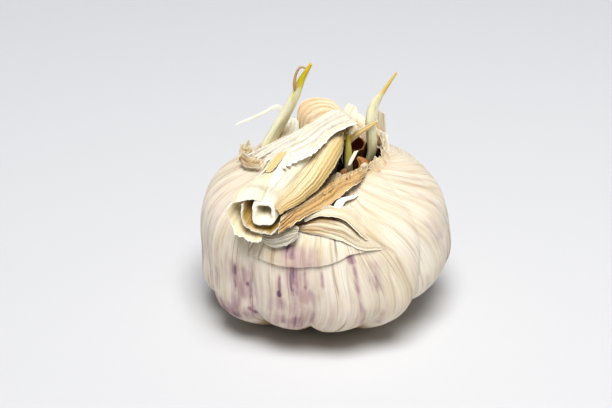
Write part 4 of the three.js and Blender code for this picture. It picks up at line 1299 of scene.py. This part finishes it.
for number, (node, (rows, root, finish, slot, brown, (folds, fold))) in enumerate(standing_leaves.items()):
    scrap = mesh_piece(node + "_scrap", dry_leaf(
        rows, torn=(0, 0.16, 0.08, 0.08), root=root, wrinkle=0.14, folds=folds, fold=fold, size=(72, 72),
        seed=300 + 20 * number, tan=lambda u, v: brown + 0.2 * (1 - v) + 0.1 * np.cos(9 * v + 4 * u),
    ), finish)
    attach(scrap, "root")
    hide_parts(node)

# Small tatters stand all round the torn rim. Those on the right are lower, and lean in over the hollow.
tatter_random = np.random.default_rng(12)
tatters = []
for index, tatter_angle in enumerate(np.concatenate([np.arange(28, 112, 6), np.arange(114, 352, 8.5)])):
    middle = tatter_angle + tatter_random.uniform(-3, 3)
    spread = middle + np.array([-1, 0, 1]) * tatter_random.uniform(4, 8)
    over_hollow = bell(middle - 60, 30)
    tatter_height = tatter_random.uniform(0.7, 2.7) * (1 - 0.45 * over_hollow)
    lean = tatter_random.uniform(-0.4, 0.5) + 1.3 * over_hollow
    inwards = upright(-1, math.radians(middle), 0) * from_front
    foot = on_skin(spread, 1.6, -0.3)
    rim_line = on_skin(spread, 0.1, 0.35)
    rim_middle = rim_line.mean(0)
    tip_line = rim_middle + inwards * lean + [0, 0, tatter_height]
    tip_line = tip_line + (rim_line - rim_middle) * tatter_random.uniform(0.15, 0.7)
    between = (rim_line + tip_line) / 2 + inwards * tatter_random.uniform(-0.4, 0.4)
    tatters.append(dry_leaf(
        [foot, rim_line, between, tip_line], torn=(0, 0.3, 0.16, 0.16), wrinkle=0.16, thickness=0.18,
        size=(14, 18), seed=700 + 20 * index, tan=tatter_random.uniform(0, 0.5) + 0.3 * over_hollow,
    ))

# The left shoot comes up through the shoulder in a torn cuff: two rings on the skin, and two round the shoot.
cuff_angle = -110
cuff_down = 6.5
degrees_per_mm = 3.7
cuff_turn = np.radians(np.linspace(0, 330, 9))
cuff_rows = []
for radius, lift in ((3.0, -0.4), (2.2, 0.3)):
    ring_angle = cuff_angle + degrees_per_mm * radius * np.cos(cuff_turn)
    cuff_rows.append(on_skin(ring_angle, cuff_down + radius * np.sin(cuff_turn), lift))
from_side = math.radians(cuff_angle + 90) - cuff_turn
for middle, radius in (([-13.7, 6.1, 38], 1.75), ([-13.1, 6, 39.2], 1.9)):
    cuff_rows.append(middle + upright(radius, from_side, 0) * from_front)
tatters.append(dry_leaf(
    cuff_rows, torn=(0, 0.55, 0.02, 0.02), wrinkle=0.12, thickness=0.18, size=(90, 30), seed=900, tan=0.15
))
rim_tatters = mesh_piece("crown_rim_tatters", joined(tatters), upper_skin)
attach(rim_tatters, "root")

# Three narrow strips: a sliver that arches out at the back, a golden one on the right, and a white one in the
# hollow. Each has its line, its half widths, the direction across it, its finish and slot, and how tan it is.
strips = {
    "back_sliver": (
        [[-7.4, 12.9, 39.4], [-9, 13.4, 43], [-11.4, 12.4, 45.6], [-14.5, 10.2, 44.9], [-17.6, 8, 44.4],
         [-21, 6, 43.8]],
        [1.1, 1, 0.7, 0.6, 0.5, 0.3], [0.3, 0.6, 0.8], white_leaf, "white_leaf", 0.1),
    "right_strip": (
        [[6.4, 0.6, 42.6], [7.4, 0.8, 43.6], [8.9, 1.2, 44.5], [10.8, 2, 45.4], [12.8, 2.6, 46.4]],
        [1.0, 1.1, 0.9, 0.6, 0.3], [0, 0.1, 1], golden_leaf, "dry_leaf", 0.55),
    "crown_strand": (
        [[7.2, -3.2, 41], [6.4, -5.8, 40.6], [5.6, -9, 40.4]],
        [0.6, 0.6, 0.4], [0.9, 0.2, 0.2], white_leaf, "white_leaf", 0.1),
}
for number, (node, (line, half_widths, across, finish, slot, tan)) in enumerate(strips.items()):
    strip = mesh_piece(node + "_strip", dry_leaf(
        ribbon_rows(line, half_widths, across), torn=(0, 0.1, 0.12, 0.12), root=0.1, wrinkle=0.08,
        seed=460 + 20 * number, size=(20, 90), tan=tan,
    ), finish)
    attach(strip, "root")
    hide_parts(node)

# Golden fibres hang loose in the hollow. They start within spans of X, Y and Z: half of them by the golden
# leaf's edge, and half under the neck.
fibre_random = np.random.default_rng(5)
fibres = []
under_leaf = ((1.6, 5), (-1.5, 2.5), (42.5, 45))
under_neck = ((-3.5, 1), (-6, -2.5), (39, 41))
for number, spans in enumerate(9 * [under_leaf] + 9 * [under_neck]):
    start = np.array([fibre_random.uniform(*span) for span in spans])
    drift = [fibre_random.uniform(-0.6, 1.6), fibre_random.uniform(-3, -0.5), -fibre_random.uniform(5, 9)]
    end = start + drift
    bow = np.array([fibre_random.uniform(-0.8, 0.8), fibre_random.uniform(-0.8, 0.8), 0])
    fibre_line = [start, start * 0.65 + end * 0.35 + bow, start * 0.3 + end * 0.7 + bow, end]
    fibres.append(plain_marks(stem(
        fibre_line, [0.18, 0.16, 0.12, 0.06], around=6, steps=14, flute=0.1, seed=520 + number
    )))
crown_fibres = mesh_piece("crown_golden_fibres", joined(fibres), golden_leaf)
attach(crown_fibres, "root")

# ---------------------------------------------------------------- studio
# A pale table with a painted pool of light on it, lightest a little in front of the bulb and darker away from
# it, that runs out to a pale room; one large soft light above and a little in front; and a camera that looks
# down on the front of the bulb.

table_size = 3.0  # metres from the middle to an edge
table_mesh = bpy.data.meshes.new("table")
table_corners = [(x * table_size, y * table_size, 0) for x, y in ((-1, -1), (1, -1), (1, 1), (-1, 1))]
table_mesh.from_pydata(table_corners, [], [(0, 1, 2, 3)])
table_painted_light, table_tree, table_shader = new_material("table_painted_light")
table_place = put(table_tree, "ShaderNodeTexCoord").outputs["Object"]
painted_light_middle = {0: table_place, 1: (0.03, -0.06, 0)}  # the middle of the painted pool of light, a little in front of the bulb
painted_light_distance = put(table_tree, "ShaderNodeVectorMath", painted_light_middle, operation="DISTANCE").outputs["Value"]
painted_light_falloff = ramp(table_tree, painted_light_distance, 0, 0.4)
# Painted light: the table's colour is lighter near the bulb and darker 0.4 m away, a pool of light painted on
# it.
table_colour_with_painted_light = blend(table_tree, painted_light_falloff, colour(218, 218, 219), colour(194, 195, 198))
feed(table_tree, table_shader, {"Base Color": table_colour_with_painted_light, "Roughness": 0.7})
table_mesh.materials.append(table_painted_light)
table = bpy.data.objects.new("table", table_mesh)
bpy.context.scene.collection.objects.link(table)

room = bpy.data.worlds.new("room")
room.use_nodes = True
room_tree = room.node_tree
room_place = put(room_tree, "ShaderNodeTexCoord").outputs["Generated"]
room_up = put(room_tree, "ShaderNodeSeparateXYZ", {0: room_place}).outputs["Z"]
room_rise = ramp(room_tree, room_up, 0.08, 0.2)
room_side = blend(room_tree, room_rise, colour(207, 208, 212), colour(248, 249, 251))
room_band = blend(room_tree, ramp(room_tree, room_up, 0.2, 0.55), room_side, colour(110, 110, 112))
feed(room_tree, room_tree.nodes["Background"], {"Color": room_band, "Strength": 0.95})
bpy.context.scene.world = room

soft_light = bpy.data.lights.new("soft_light", "SUN")
soft_light.angle = math.radians(36)
soft_light.energy = 2.95
soft_light_object = bpy.data.objects.new("soft_light", soft_light)
soft_light_from = Vector((0.04, -0.36, 1))
soft_light_object.rotation_euler = soft_light_from.to_track_quat("Z", "Y").to_euler()
bpy.context.scene.collection.objects.link(soft_light_object)

camera_data = bpy.data.cameras.new("camera")
camera_data.lens = 100  # millimetres, as is the sensor's width
camera_data.sensor_width = 36
camera_elevation = math.radians(27)
camera_distance = 0.4031
aim = Vector((-0.00424, 0, 0.02595))  # near the middle of the bulb
back_off = Vector((0, -math.cos(camera_elevation), math.sin(camera_elevation)))
camera = bpy.data.objects.new("camera", camera_data)
camera.location = aim + back_off * camera_distance
camera.rotation_euler = back_off.to_track_quat("Z", "Y").to_euler()
bpy.context.scene.collection.objects.link(camera)
bpy.context.scene.camera = camera
bpy.context.scene.view_settings.view_transform = "Standard"
bpy.context.scene.view_settings.look = "High Contrast"
